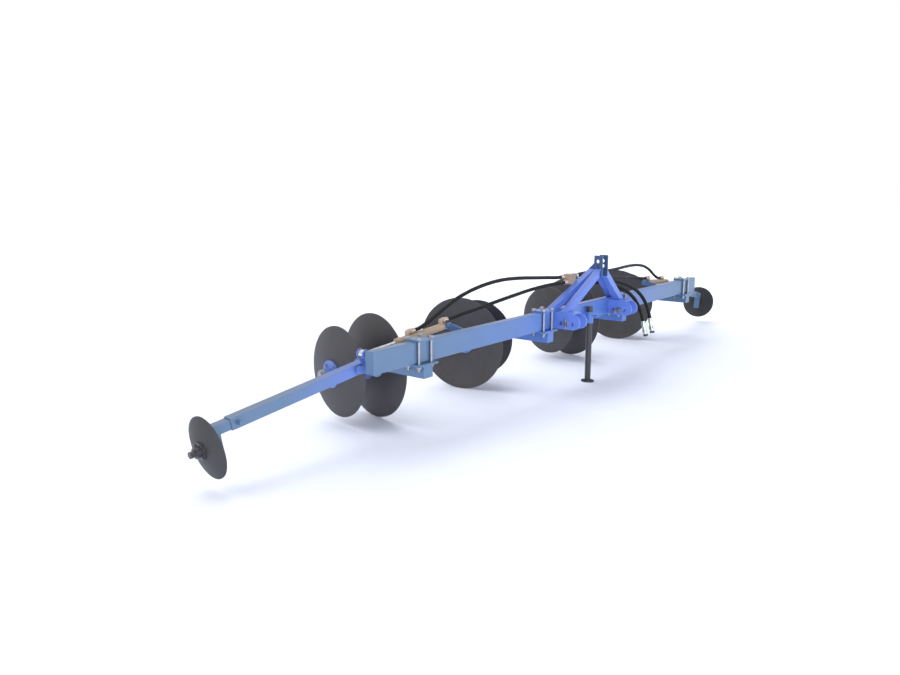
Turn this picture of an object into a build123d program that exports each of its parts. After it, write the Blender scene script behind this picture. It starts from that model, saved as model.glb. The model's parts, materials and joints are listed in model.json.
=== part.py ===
from build123d import *
import os
from math import cos, pi, radians, sin, sqrt, tan

# Row frame: X along the toolbar, Y from the hitch towards the discs, Z up.
# The origin is the centre of the parking foot's underside, on the floor.

# Toolbar, a rectangular steel tube
BAR_LEFT = 2240.0
BAR_RIGHT = 2090.0
BAR_HEIGHT = 126.0
BAR_DEPTH = 60.0
BAR_WALL = 8.0
BAR_CORNER = 8.0

# Disc gang stations along the bar
STATION_OUTER = 1843.5
STATION_INNER = 555.5

# Shanks under the bar
SHANK_WIDTH = 75.0
SHANK_HEIGHT = 70.0
SHANK_WALL = 6.0
SHANK_FRONT = 64.0
SHANK_BACK = 72.0
CLAMP_PLATE = 12.0
CLAMP_PLATE_HALF = 80.0
CLAMP_PLATE_DEPTH = 140.0
EAR_REACH = 30.0
EAR_THICK = 10.0
EAR_HALF_LENGTH = 72.0

# Clamp bolts and their top plates
CLAMP_BOLT_DIA = 18.0
CLAMP_BOLT_SPACING = 104.4
CLAMP_BOLT_SIDE_GAP = 1.0
CLAMP_BOLT_TAIL = 30.0
CLAMP_BOLT_NUT_FLATS = 27.0
CLAMP_BOLT_NUT_HEIGHT = 15.0
CLAMP_BOLT_HEAD_HEIGHT = 12.0
TOP_PLATE = 10.0
TOP_PLATE_EDGE = 5.0

# Disc gangs
AXLE_HEIGHT = 330.0
AXLE_DROP = 54.0
AXLE_BEHIND = 590.5
TOE_DEG = 10.0
SMALL_RIM_AT = 58.8
RIM_DISTANCE = 266.4
LARGE_RADIUS = 330.0
LARGE_DISH = 58.0
SMALL_RADIUS = 280.0
SMALL_DISH = 45.0
DISC_PLATE = 6.5
DISC_FLAT = 85.0
SHAFT_RADIUS = 20.0
FLANGE_RADIUS = 78.0
FLANGE_THICK = 14.0
BOSS_RADIUS = 31.0
BOSS_LENGTH = 38.0
INNER_BOSS_GAP = 4.0
AXLE_NUT_FLATS = 55.0
AXLE_NUT_HEIGHT = 26.0
SHAFT_TAIL = 9.0
FLANGE_BOLT_RADIUS = 6.0
FLANGE_BOLT_CIRCLE = 56.0
FLANGE_BOLT_HEAD = 8.0
FLANGE_BOLT_FLATS = 19.0
HOUSING_RADIUS = 48.0
HOUSING_START = 44.0
HOUSING_LENGTH = 162.0
BEARING_RADIUS = 40.0
BEARING_WIDTH = 18.0
RUNNING_GAP = 0.05
PAD_THICK = 12.0
PAD_BOLT_RADIUS = 6.0
PAD_BOLT_ACROSS = 54.0
PAD_BOLT_ALONG = 47.0
PAD_BOLT_FLATS = 19.0
PAD_BOLT_HEAD = 8.0

# Lower link brackets and pins
LINK_INNER = 347.0
LINK_OUTER = 440.0
LINK_PLATE = 12.0
LINK_REACH = 196.0
LINK_HOLE_HEIGHT = 503.0
LINK_BELOW = 39.0
LINK_ABOVE = 67.0
LINK_HOLE_PITCH = 46.0
LINK_PIN_RADIUS = 14.0
LINK_PIN_AT = 91.0
LINK_PIN_INNER_END = 245.0
LINK_PIN_COLLAR = 12.0
LINK_PIN_COLLAR_RADIUS = 22.0
LINK_PIN_TAIL = 26.0
LINCHPIN_RADIUS = 4.5
LINCHPIN_LENGTH = 62.0
LINCHPIN_OUT = 12.0
LINK_COVER = 10.0

# Mast
HEAD_GAP = 68.0
HEAD_PLATE = 12.0
HEAD_TOP = 947.0
HEAD_BOTTOM = 796.0
HEAD_FRONT = 169.0
HEAD_NECK = 104.0
HEAD_BACK = 58.0
HEAD_HOLE_RADIUS = 13.0
HEAD_HOLE_Z = 905.0
HEAD_LOWER_HOLE_Z = 868.0
HEAD_HOLE_Y = 132.0
STRUT_SIZE = 46.0
STRUT_WALL = 5.0
STRUT_TOP_Z = 824.0
FRONT_STRUT_TOP_Y = 134.0
FRONT_STRUT_FOOT_X = 398.0
FRONT_STRUT_FOOT_Y = 92.0
REAR_STRUT_TOP_Y = 84.0
REAR_STRUT_FOOT_X = 440.0
SPACER_RADIUS = 16.0

# Parking stand
LEG_RADIUS = 22.0
SOCKET_RADIUS = 28.0
SOCKET_BOTTOM = 443.0
SOCKET_TOP = 526.0
LEG_TOP = 566.0
LEG_HOLE_RADIUS = 6.0
LEG_HOLE_Z = 80.0
FOOT_RADIUS = 48.0
FOOT_THICK = 8.0
SCREW_RADIUS = 7.0
SCREW_REACH = 40.0
SCREW_BAR = 70.0
SCREW_BAR_RADIUS = 5.0
SCREW_HEIGHT = 500.0

# Marker hinge, behind each end of the bar
HINGE_X = 2058.0
HINGE_Z = 447.0
HINGE_PIN_RADIUS = 14.0
LEVER_RADIUS = 115.0
FOLD_DEG = 66.0
CYLINDER_TILT_DEG = 4.8
CYLINDER_Y = 158.0
SLOT_PLAY = 3.5
ROD_PIN_RADIUS = 11.0
ROD_PIN_HEAD = 9.0
ROD_PIN_FLATS = 32.0
CHEEK = 10.0
CHEEK_REACH = 80.0
LUG = 12.0
EYE_WIDTH = 30.0
PLATE_GAP = 1.5
WEB_X = 1985.0
WEB_THICK = 12.0
LUG_RADIUS = 44.0
HUB_PLATE_RADIUS = 42.0
WEB_FLOOR = 420.0
WEB_LOW_TOP = 474.0
WEB_STEP_Y = 100.0

# Marker arm and its disc
ARM_DROOP_DEG = 9.6
ARM_SWEEP_DEG = 4.2
ARM_ROOT_Y = 216.0
ARM_ROOT_Z = 460.0
ARM_SIZE = 60.0
ARM_ROOT_TAIL = 10.0
INNER_SIZE = 50.0
INNER_WALL = 4.0
INNER_OVERLAP = 460.0
INNER_SHOW = 105.0
TUBE_GAP = 0.1
LEG_SECTION = 45.0
LEG_DROP = 140.0
SPINDLE_DROP = 72.0
SPINDLE_RADIUS = 15.0
MARKER_RIM = 1007.0
MARKER_STANDOFF = 22.0
MARKER_RADIUS = 160.0
MARKER_DISH = 32.0
MARKER_PLATE = 4.0
MARKER_FLAT = 50.0
MARKER_FLANGE = 46.0
MARKER_HUB_RADIUS = 28.0
MARKER_BOSS = 34.0
MARKER_CAP = 26.0
MARKER_CAP_RADIUS = 17.0
MARKER_BOLT_FLATS = 12.0
MARKER_BOLT_HEAD = 5.0
ARM_BOLT_INSET = 38.0
ARM_LUG_AT = 257.0
ARM_LUG_RADIUS = 24.0
ARM_LUG_DROP = 10.0
ARM_BOLT_RADIUS = 6.0
ARM_BOSS_RADIUS = 14.0
ARM_BOSS_LENGTH = 12.0

# Lift cylinders
ROD_RADIUS = 10.0
ROD_EYE_RADIUS = 24.0
PISTON_RADIUS = 16.0
PISTON_LENGTH = 30.0
ROD_LENGTH = 495.0
GLAND_AT = 265.0
GLAND_LENGTH = 40.0
GLAND_RADIUS = 24.0
BARREL_RADIUS = 22.0
BARREL_END = 680.0
BASE_EYE_AT = 706.0
BASE_EYE_RADIUS = 20.0
BASE_PIN_RADIUS = 11.0
PORT_NEAR = 361.0
PORT_FAR = 666.0
PORT_RADIUS = 13.0
PORT_RISE = 18.0
ELBOW_REACH = 27.0
BASE_WEB_AT = 1388.0
BASE_WEB = 12.0
BASE_WEB_BOTTOM = 540.0

# Hydraulic block on the left rear strut
BLOCK_X = -201.0
BLOCK_Y = 10.0
BLOCK_WIDTH = 50.0
BLOCK_DEPTH = 60.0
BLOCK_BOTTOM = 748.0
BLOCK_TOP = 820.0
FITTING_RADIUS = 13.0
FITTING_HEX = 28.0
FITTING_LENGTH = 30.0
BLOCK_PLATE = 16.0

# Hoses
HOSE_RADIUS = 12.0
SUPPLY_RADIUS = 14.0
COUPLER_LENGTH = 88.0
COUPLER_RADIUS = 18.0

BAR_UNDERSIDE = AXLE_HEIGHT + AXLE_DROP + SHANK_HEIGHT + CLAMP_PLATE
BAR_TOP = BAR_UNDERSIDE + BAR_HEIGHT
BAR_HALF = BAR_DEPTH / 2
SHANK_TOP = BAR_UNDERSIDE - CLAMP_PLATE
SHANK_BOTTOM = SHANK_TOP - SHANK_HEIGHT
STAND_Y = -BAR_HALF - SOCKET_RADIUS
FOLD_HALF = FOLD_DEG / 2
INNER_END = MARKER_RIM - MARKER_STANDOFF
ARM_END = INNER_END - INNER_SHOW
INNER_START = ARM_END - INNER_OVERLAP
ARM_BOLT_AT = ARM_END - ARM_BOLT_INSET


def box(x0, x1, y0, y1, z0, z1):
    middle = ((x0 + x1) / 2, (y0 + y1) / 2, (z0 + z1) / 2)
    return Pos(*middle) * Box(abs(x1 - x0), abs(y1 - y0), abs(z1 - z0))


def rod(start, end, radius):
    start = Vector(*start)
    run = Vector(*end) - start
    plane = Plane(origin=start, z_dir=run)
    return plane * extrude(Circle(radius), amount=run.length)


def hexagon(start, end, flats):
    start = Vector(*start)
    run = Vector(*end) - start
    plane = Plane(origin=start, z_dir=run)
    outline = RegularPolygon(flats / 2, 6, major_radius=False)
    return plane * extrude(outline, amount=run.length)


def turned(points):
    outline = make_face(Polyline(*[(r, 0, a) for r, a in points], close=True))
    return revolve(outline, Axis.Z, 360)


def ring(inner, outer, low, high):
    return turned([(inner, low), (outer, low), (outer, high), (inner, high)])


def plate_y(outline, low, high):
    # Plate square to Y, drawn in X and Z
    plane = Plane(origin=(0, low, 0), x_dir=(1, 0, 0), z_dir=(0, -1, 0))
    return plane * extrude(outline, amount=-(high - low))


def spot(x, z, radius):
    return Pos(x, z) * Circle(radius)


def mirrored(shape):
    return mirror(shape, about=Plane.YZ)


def both(shape):
    return [shape, mirrored(shape)]


def parts_of(shapes):
    solids = []
    for shape in shapes:
        solids.extend(shape.solids())
    return solids


os.makedirs("parts", exist_ok=True)


def save(name, *shapes):
    # Every piece is kept apart inside its node and moved into the row frame
    solids = [Pos(0, -STAND_Y, 0) * s for s in parts_of(shapes)]
    whole = solids[0] if len(solids) == 1 else Compound(children=solids)
    whole.label = name
    export_step(whole, "parts/" + name + ".step")


# Toolbar
bar_outer = Rectangle(BAR_DEPTH, BAR_HEIGHT)
bar_outer = fillet(bar_outer.vertices(), BAR_CORNER)
bar_inner = Rectangle(BAR_DEPTH - 2 * BAR_WALL, BAR_HEIGHT - 2 * BAR_WALL)
bar_plane = Plane(
    origin=(-BAR_LEFT, 0, BAR_UNDERSIDE + BAR_HEIGHT / 2),
    x_dir=(0, 1, 0),
    z_dir=(1, 0, 0),
)
bar_length = BAR_LEFT + BAR_RIGHT
toolbar = bar_plane * extrude(bar_outer - bar_inner, amount=bar_length)
end_cap = bar_plane * extrude(bar_inner, amount=BAR_WALL)
toolbar = toolbar + end_cap + Pos(bar_length - BAR_WALL, 0, 0) * end_cap
save("toolbar", toolbar)


# One disc gang, drawn at X = 0 with its large disc towards +X
def toe_shift(x):
    return -x * tan(radians(TOE_DEG))


def pad_bolt_spots():
    spots = []
    for x in (-PAD_BOLT_ACROSS, PAD_BOLT_ACROSS):
        for y in (-PAD_BOLT_ALONG, PAD_BOLT_ALONG):
            spots.append((x, AXLE_BEHIND + toe_shift(x) + y))
    return spots


half_width = SHANK_WIDTH / 2
shank_end = AXLE_BEHIND + SHANK_BACK
shank_long = shank_end + SHANK_FRONT
shank_plane = Plane(
    origin=(0, -SHANK_FRONT, SHANK_BOTTOM + SHANK_HEIGHT / 2),
    x_dir=(1, 0, 0),
    z_dir=(0, 1, 0),
)
shank_hole = Rectangle(SHANK_WIDTH - 2 * SHANK_WALL, SHANK_HEIGHT - 2 * SHANK_WALL)
shank = shank_plane * extrude(Rectangle(SHANK_WIDTH, SHANK_HEIGHT), amount=shank_long)
shank_hollow = shank_plane * extrude(shank_hole, amount=shank_long - SHANK_WALL)
shank_hollow = Pos(0, SHANK_WALL / 2, 0) * shank_hollow
shank_hollow = shank_hollow & box(
    -half_width, half_width, -SHANK_FRONT + SHANK_WALL, shank_end - SHANK_WALL, 0, BAR_TOP
)
shank = shank - shank_hollow
shank = shank + box(
    -CLAMP_PLATE_HALF,
    CLAMP_PLATE_HALF,
    -CLAMP_PLATE_DEPTH / 2,
    CLAMP_PLATE_DEPTH / 2,
    SHANK_TOP,
    BAR_UNDERSIDE,
)
ear_reach = half_width + EAR_REACH
for side in (-1, 1):
    shank = shank + box(
        side * half_width,
        side * ear_reach,
        AXLE_BEHIND - EAR_HALF_LENGTH,
        AXLE_BEHIND + EAR_HALF_LENGTH,
        SHANK_BOTTOM,
        SHANK_BOTTOM + EAR_THICK,
    )
clamp_bolt_x = CLAMP_BOLT_SPACING / 2
clamp_bolt_y = BAR_HALF + CLAMP_BOLT_SIDE_GAP + CLAMP_BOLT_DIA / 2
for x in (-clamp_bolt_x, clamp_bolt_x):
    for y in (-clamp_bolt_y, clamp_bolt_y):
        low = (x, y, SHANK_TOP - 1)
        high = (x, y, BAR_UNDERSIDE + 1)
        shank = shank - rod(low, high, CLAMP_BOLT_DIA / 2)
for x, y in pad_bolt_spots():
    shank = shank - rod((x, y, SHANK_BOTTOM - 1), (x, y, SHANK_BOTTOM + EAR_THICK + 1), PAD_BOLT_RADIUS)

# Long clamp bolts before and behind the bar, under a top plate, and their nuts
top_plate_high = BAR_TOP + TOP_PLATE
top_half_x = clamp_bolt_x + CLAMP_BOLT_DIA / 2 + TOP_PLATE_EDGE
top_half_y = clamp_bolt_y + CLAMP_BOLT_DIA / 2 + TOP_PLATE_EDGE
top_plate = box(-top_half_x, top_half_x, -top_half_y, top_half_y, BAR_TOP, top_plate_high)
for x in (-clamp_bolt_x, clamp_bolt_x):
    for y in (-clamp_bolt_y, clamp_bolt_y):
        top_plate = top_plate - rod((x, y, BAR_TOP - 1), (x, y, top_plate_high + 1), CLAMP_BOLT_DIA / 2)
clamp_bolt_low = SHANK_TOP - CLAMP_BOLT_TAIL
clamp_bolt = rod((0, 0, clamp_bolt_low), (0, 0, top_plate_high), CLAMP_BOLT_DIA / 2)
clamp_bolt = clamp_bolt + hexagon(
    (0, 0, top_plate_high), (0, 0, top_plate_high + CLAMP_BOLT_HEAD_HEIGHT), CLAMP_BOLT_NUT_FLATS
)
nut_low = SHANK_TOP - CLAMP_BOLT_NUT_HEIGHT
clamp_bolt_nut = hexagon((0, 0, nut_low), (0, 0, SHANK_TOP), CLAMP_BOLT_NUT_FLATS)
clamp_bolt_nut = Rot(0, 0, 30) * clamp_bolt_nut
clamp_bolt_nut = clamp_bolt_nut - rod((0, 0, nut_low - 1), (0, 0, SHANK_TOP + 1), CLAMP_BOLT_DIA / 2)

# Axle frame: local Z runs along the axle towards the large disc
axle_run = (cos(radians(TOE_DEG)), -sin(radians(TOE_DEG)), 0)
axle = Plane(origin=(0, AXLE_BEHIND, AXLE_HEIGHT), x_dir=(0, 0, 1), z_dir=axle_run)


def disc_blank(radius, dish, plate, flat, hole):
    # Rim plane at 0, hollow side up, flat middle below it
    depth = dish * radius**2 / (radius**2 - flat**2)
    mid_r = (flat + radius) / 2
    mid_a = -depth * (1 - (mid_r / radius) ** 2)
    top = ThreePointArc((flat, 0, -dish), (mid_r, 0, mid_a), (radius, 0, 0))
    rim = Line((radius, 0, 0), (radius, 0, -plate))
    under = ThreePointArc(
        (radius, 0, -plate), (mid_r, 0, mid_a - plate), (flat, 0, -dish - plate)
    )
    base = Line((flat, 0, -dish - plate), (hole, 0, -dish - plate))
    inside = Line((hole, 0, -dish - plate), (hole, 0, -dish))
    floor = Line((hole, 0, -dish), (flat, 0, -dish))
    outline = make_face([top, rim, under, base, inside, floor])
    return revolve(outline, Axis.Z, 360)


def bolt_circle(count):
    step = 2 * pi / count
    return [
        (FLANGE_BOLT_CIRCLE * cos(step * (k + 0.5)), FLANGE_BOLT_CIRCLE * sin(step * (k + 0.5)))
        for k in range(count)
    ]


def drilled(shape, low, high):
    for x, y in bolt_circle(4):
        shape = shape - rod((x, y, low - 1), (x, y, high + 1), FLANGE_BOLT_RADIUS)
    return shape


small_rim = -SMALL_RIM_AT
large_rim = RIM_DISTANCE - SMALL_RIM_AT
small_face = small_rim - SMALL_DISH
small_back = small_face - DISC_PLATE
large_face = large_rim - LARGE_DISH
large_back = large_face - DISC_PLATE
housing_low = -HOUSING_START
housing_high = HOUSING_LENGTH - HOUSING_START

disc_small = Pos(0, 0, small_rim) * disc_blank(
    SMALL_RADIUS, SMALL_DISH, DISC_PLATE, DISC_FLAT, SHAFT_RADIUS
)
disc_small = drilled(disc_small, small_back, small_face)
disc_large = Pos(0, 0, large_rim) * disc_blank(
    LARGE_RADIUS, LARGE_DISH, DISC_PLATE, DISC_FLAT, SHAFT_RADIUS
)
disc_large = drilled(disc_large, large_back, large_face)


def flange(face, boss_end, way):
    # Flange plate against a disc with a boss that runs on to boss_end
    plate_end = face + way * FLANGE_THICK
    low = min(face, plate_end)
    high = max(face, plate_end)
    plate = ring(SHAFT_RADIUS, FLANGE_RADIUS, low, high)
    plate = plate + ring(SHAFT_RADIUS, BOSS_RADIUS, min(face, boss_end), max(face, boss_end))
    return drilled(plate, low, high)


small_nut_face = small_back - FLANGE_THICK - BOSS_LENGTH
large_nut_face = large_face + FLANGE_THICK + BOSS_LENGTH
hub_pieces = [
    flange(small_back, small_nut_face, -1),
    flange(small_face, housing_low - INNER_BOSS_GAP, 1),
    flange(large_back, housing_high + INNER_BOSS_GAP, -1),
    flange(large_face, large_nut_face, 1),
]


def axle_nut(face, way):
    end = face + way * AXLE_NUT_HEIGHT
    nut = hexagon((0, 0, face), (0, 0, end), AXLE_NUT_FLATS)
    return nut - rod((0, 0, face - way), (0, 0, end + way), SHAFT_RADIUS)


hub_pieces.append(axle_nut(small_nut_face, -1))
hub_pieces.append(axle_nut(large_nut_face, 1))


def flange_bolt(x, y, low, high):
    bolt = rod((x, y, low - FLANGE_BOLT_HEAD), (x, y, high + FLANGE_BOLT_HEAD), FLANGE_BOLT_RADIUS)
    bolt = bolt + hexagon((x, y, low - FLANGE_BOLT_HEAD), (x, y, low), FLANGE_BOLT_FLATS)
    return bolt + hexagon((x, y, high), (x, y, high + FLANGE_BOLT_HEAD), FLANGE_BOLT_FLATS)


for x, y in bolt_circle(4):
    hub_pieces.append(flange_bolt(x, y, small_back - FLANGE_THICK, small_face + FLANGE_THICK))
    hub_pieces.append(flange_bolt(x, y, large_back - FLANGE_THICK, large_face + FLANGE_THICK))
shaft_low = small_nut_face - AXLE_NUT_HEIGHT - SHAFT_TAIL
shaft_high = large_nut_face + AXLE_NUT_HEIGHT + SHAFT_TAIL
shaft = rod((0, 0, shaft_low), (0, 0, shaft_high), SHAFT_RADIUS)

# Bearing housing with its pad under the shank
housing = axle * rod((0, 0, housing_low), (0, 0, housing_high), HOUSING_RADIUS)
pad_low = SHANK_BOTTOM - PAD_THICK
housing = housing + box(
    -ear_reach,
    ear_reach,
    AXLE_BEHIND - EAR_HALF_LENGTH,
    AXLE_BEHIND + EAR_HALF_LENGTH,
    pad_low,
    SHANK_BOTTOM,
)
rib_half = HOUSING_RADIUS * 0.45
rib_rise = pad_low - AXLE_HEIGHT
rib_face = Pos(rib_rise / 2, 0, housing_low) * Rectangle(rib_rise, 2 * rib_half)
rib = axle * extrude(rib_face, amount=HOUSING_LENGTH)
rib = rib & box(-ear_reach, ear_reach, 0, shank_end, AXLE_HEIGHT, pad_low)
housing = housing + rib
shank_clear = box(-ear_reach, ear_reach, 0, shank_end, SHANK_BOTTOM, BAR_TOP)
housing = housing - shank_clear
housing = housing - axle * rod(
    (0, 0, housing_low - 1), (0, 0, housing_high + 1), BEARING_RADIUS - 6
)
bearing_spots = [
    (housing_low, housing_low + BEARING_WIDTH),
    (housing_high - BEARING_WIDTH, housing_high),
]
for low, high in bearing_spots:
    housing = housing - axle * rod((0, 0, low), (0, 0, high), BEARING_RADIUS)
for x, y in pad_bolt_spots():
    housing = housing - rod((x, y, pad_low - 1), (x, y, SHANK_BOTTOM + 1), PAD_BOLT_RADIUS)
bearings = [
    axle * ring(SHAFT_RADIUS + RUNNING_GAP, BEARING_RADIUS, low, high) for low, high in bearing_spots
]
pad_bolts = []
for x, y in pad_bolt_spots():
    low = pad_low - PAD_BOLT_HEAD
    high = SHANK_BOTTOM + EAR_THICK + PAD_BOLT_HEAD
    bolt = rod((x, y, low), (x, y, high), PAD_BOLT_RADIUS)
    bolt = bolt + hexagon((x, y, low), (x, y, pad_low), PAD_BOLT_FLATS)
    bolt = bolt + hexagon((x, y, SHANK_BOTTOM + EAR_THICK), (x, y, high), PAD_BOLT_FLATS)
    pad_bolts.append(bolt)

gang_frame = {
    "shank": [shank],
    "bearing_housing": [housing],
}
gang_turning = {
    "gang_shaft": [axle * shaft],
    "disc_large": [axle * disc_large],
    "disc_small": [axle * disc_small],
    "gang_hubs": [axle * piece for piece in hub_pieces],
}


def at_station(shapes, letter):
    # Stations a and c as drawn, b and d are their mirror images
    if letter == "a":
        return [Pos(-STATION_OUTER, 0, 0) * s for s in shapes]
    if letter == "c":
        return [Pos(STATION_INNER, 0, 0) * s for s in shapes]
    if letter == "b":
        return [mirrored(Pos(STATION_INNER, 0, 0) * s) for s in shapes]
    return [mirrored(Pos(-STATION_OUTER, 0, 0) * s) for s in shapes]


all_bearings = []
all_clamp_bolts = []
all_top_plates = []
all_nuts = []
all_pad_bolts = []
for letter in "abcd":
    for name, shapes in gang_frame.items():
        save(name + "_" + letter, *at_station(shapes, letter))
    for name, shapes in gang_turning.items():
        save(name + "_" + letter, *at_station(shapes, letter))
    all_bearings.extend(at_station(bearings, letter))
    all_pad_bolts.extend(at_station(pad_bolts, letter))
    bolts = [
        Pos(x, y, 0) * clamp_bolt for x in (-clamp_bolt_x, clamp_bolt_x) for y in (-clamp_bolt_y, clamp_bolt_y)
    ]
    all_clamp_bolts.extend(at_station(bolts, letter))
    all_top_plates.extend(at_station([top_plate], letter))
    nuts = [
        Pos(x, y, 0) * clamp_bolt_nut for x in (-clamp_bolt_x, clamp_bolt_x) for y in (-clamp_bolt_y, clamp_bolt_y)
    ]
    all_nuts.extend(at_station(nuts, letter))
save("gang_bearings", *all_bearings)
save("clamp_bolts", *all_clamp_bolts)
save("clamp_top_plates", *all_top_plates)
save("clamp_nuts", *all_nuts)
save("pad_bolts", *all_pad_bolts)

# Lower link brackets, welded to the bar's front face
front = -BAR_HALF
LINK_BOTTOM = LINK_HOLE_HEIGHT - LINK_BELOW
LINK_TOP = LINK_HOLE_HEIGHT + LINK_ABOVE
nose_radius = (LINK_TOP - LINK_BOTTOM) / 2
nose_y = front - LINK_REACH + nose_radius
link_mid_z = (LINK_TOP + LINK_BOTTOM) / 2


def link_plate(x):
    low = x - LINK_PLATE / 2
    plate = box(low, low + LINK_PLATE, nose_y, front, LINK_BOTTOM, LINK_TOP)
    plate = plate + rod((low, nose_y, link_mid_z), (low + LINK_PLATE, nose_y, link_mid_z), nose_radius)
    for k in (-1, 0, 1):
        y = front - LINK_PIN_AT + k * LINK_HOLE_PITCH
        hole = rod(
            (low - 1, y, LINK_HOLE_HEIGHT), (low + LINK_PLATE + 1, y, LINK_HOLE_HEIGHT), LINK_PIN_RADIUS
        )
        plate = plate - hole
    return plate


bracket = link_plate(LINK_INNER) + link_plate(LINK_OUTER)
bracket = bracket + box(
    LINK_INNER - LINK_PLATE / 2,
    LINK_OUTER + LINK_PLATE / 2,
    nose_y,
    front,
    LINK_TOP,
    LINK_TOP + LINK_COVER,
)
save("lower_link_brackets", *both(bracket))

pin_y = front - LINK_PIN_AT
plate_face = LINK_INNER - LINK_PLATE / 2
outer_face = LINK_OUTER + LINK_PLATE / 2
pin_tail = outer_face + LINK_PIN_TAIL
link_pin = rod(
    (LINK_PIN_INNER_END, pin_y, LINK_HOLE_HEIGHT), (pin_tail, pin_y, LINK_HOLE_HEIGHT), LINK_PIN_RADIUS
)
link_pin = link_pin + rod(
    (plate_face - LINK_PIN_COLLAR, pin_y, LINK_HOLE_HEIGHT),
    (plate_face, pin_y, LINK_HOLE_HEIGHT),
    LINK_PIN_COLLAR_RADIUS,
)
linch_x = outer_face + LINCHPIN_OUT
linch_low = (linch_x, pin_y, LINK_HOLE_HEIGHT - LINCHPIN_LENGTH / 2)
linch_high = (linch_x, pin_y, LINK_HOLE_HEIGHT + LINCHPIN_LENGTH / 2)
link_pin = link_pin - rod(linch_low, linch_high, LINCHPIN_RADIUS)
linchpin = rod(linch_low, linch_high, LINCHPIN_RADIUS)
save("lower_link_pins", *both(link_pin), *both(linchpin))

# Mast head: two cheeks with a clevis gap, joined by a spacer
head_in = HEAD_GAP / 2
head_out = head_in + HEAD_PLATE
neck_z = STRUT_TOP_Z + STRUT_SIZE / 2
head_points = [
    (-HEAD_FRONT, HEAD_BOTTOM),
    (-HEAD_BACK, HEAD_BOTTOM),
    (-HEAD_BACK, neck_z),
    (-HEAD_NECK, neck_z + STRUT_SIZE),
    (-HEAD_NECK, HEAD_TOP),
    (-HEAD_FRONT, HEAD_TOP),
]
cheek_plane = Plane(origin=(head_in, 0, 0), x_dir=(0, 1, 0), z_dir=(1, 0, 0))
cheek_face = make_face(Polyline(*head_points, close=True))
cheek = cheek_plane * extrude(cheek_face, amount=HEAD_PLATE)
for z in (HEAD_HOLE_Z, HEAD_LOWER_HOLE_Z):
    cheek = cheek - rod((head_in - 1, -HEAD_HOLE_Y, z), (head_out + 1, -HEAD_HOLE_Y, z), HEAD_HOLE_RADIUS)
spacer_y = -(HEAD_FRONT + HEAD_BACK) / 2
spacer_z = HEAD_BOTTOM + SPACER_RADIUS
spacer = rod((-head_in, spacer_y, spacer_z), (head_in, spacer_y, spacer_z), SPACER_RADIUS)
mast_head = cheek + mirrored(cheek) + spacer
save("mast_head", mast_head)


def strut(top, foot, floor):
    # Square tube between two points, cut flush at the cheek and at its foot
    top = Vector(*top)
    foot = Vector(*foot)
    run = (foot - top).normalized()
    long = (foot - top).length + 4 * STRUT_SIZE
    plane = Plane(origin=top - run * 2 * STRUT_SIZE, x_dir=Vector(0, 1, 0).cross(run), z_dir=run)
    hole = STRUT_SIZE - 2 * STRUT_WALL
    tube = plane * extrude(Rectangle(STRUT_SIZE, STRUT_SIZE) - Rectangle(hole, hole), amount=long)
    return tube & box(head_out, 4 * REAR_STRUT_FOOT_X, -HEAD_TOP, HEAD_TOP, floor, HEAD_TOP * 2)


front_strut = strut(
    (head_out, -FRONT_STRUT_TOP_Y, STRUT_TOP_Z),
    (FRONT_STRUT_FOOT_X, -FRONT_STRUT_FOOT_Y, LINK_TOP + LINK_COVER),
    LINK_TOP + LINK_COVER,
)
rear_strut = strut(
    (head_out, -REAR_STRUT_TOP_Y, STRUT_TOP_Z), (REAR_STRUT_FOOT_X, 0, BAR_TOP), BAR_TOP
)
save("mast_front_struts", *both(front_strut))
save("mast_rear_struts", *both(rear_strut))

# Parking stand
socket = rod((0, STAND_Y, SOCKET_BOTTOM), (0, STAND_Y, SOCKET_TOP), SOCKET_RADIUS)
saddle_half = SOCKET_RADIUS * 0.8
socket = socket + box(
    -saddle_half, saddle_half, STAND_Y, front, max(SOCKET_BOTTOM, BAR_UNDERSIDE), SOCKET_TOP
)
socket = socket - rod(
    (0, STAND_Y, SOCKET_BOTTOM - 1), (0, STAND_Y, SOCKET_TOP + 1), LEG_RADIUS + RUNNING_GAP
)
screw_tip = (0, STAND_Y - LEG_RADIUS - 2 * RUNNING_GAP, SCREW_HEIGHT)
screw_end = (0, STAND_Y - SOCKET_RADIUS - SCREW_REACH, SCREW_HEIGHT)
socket = socket - rod(screw_tip, (0, screw_end[1], SCREW_HEIGHT), SCREW_RADIUS)
screw = rod(screw_tip, screw_end, SCREW_RADIUS)
screw = screw + rod(
    (-SCREW_BAR / 2, screw_end[1], SCREW_HEIGHT),
    (SCREW_BAR / 2, screw_end[1], SCREW_HEIGHT),
    SCREW_BAR_RADIUS,
)
save("stand_socket", socket, screw)
leg = rod((0, STAND_Y, FOOT_THICK), (0, STAND_Y, LEG_TOP), LEG_RADIUS)
leg = leg + rod((0, STAND_Y, 0), (0, STAND_Y, FOOT_THICK), FOOT_RADIUS)
leg_hole_front = (0, STAND_Y - FOOT_RADIUS, LEG_HOLE_Z)
leg_hole_back = (0, STAND_Y + FOOT_RADIUS, LEG_HOLE_Z)
leg = leg - rod(leg_hole_front, leg_hole_back, LEG_HOLE_RADIUS)
save("stand_leg", leg)

# Marker hinge on the left; the right side is its mirror image
hinge_x = -HINGE_X
rod_plate_low = CYLINDER_Y - EYE_WIDTH / 2 - PLATE_GAP - CHEEK
rod_plate_high = CYLINDER_Y + EYE_WIDTH / 2 + PLATE_GAP
rear_cheek_low = ARM_ROOT_Y + ARM_SIZE / 2
front_lug_high = rod_plate_low - PLATE_GAP
rear_lug_low = rear_cheek_low + CHEEK + PLATE_GAP
front_lug_low = front_lug_high - LUG
rear_lug_high = rear_lug_low + LUG

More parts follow.
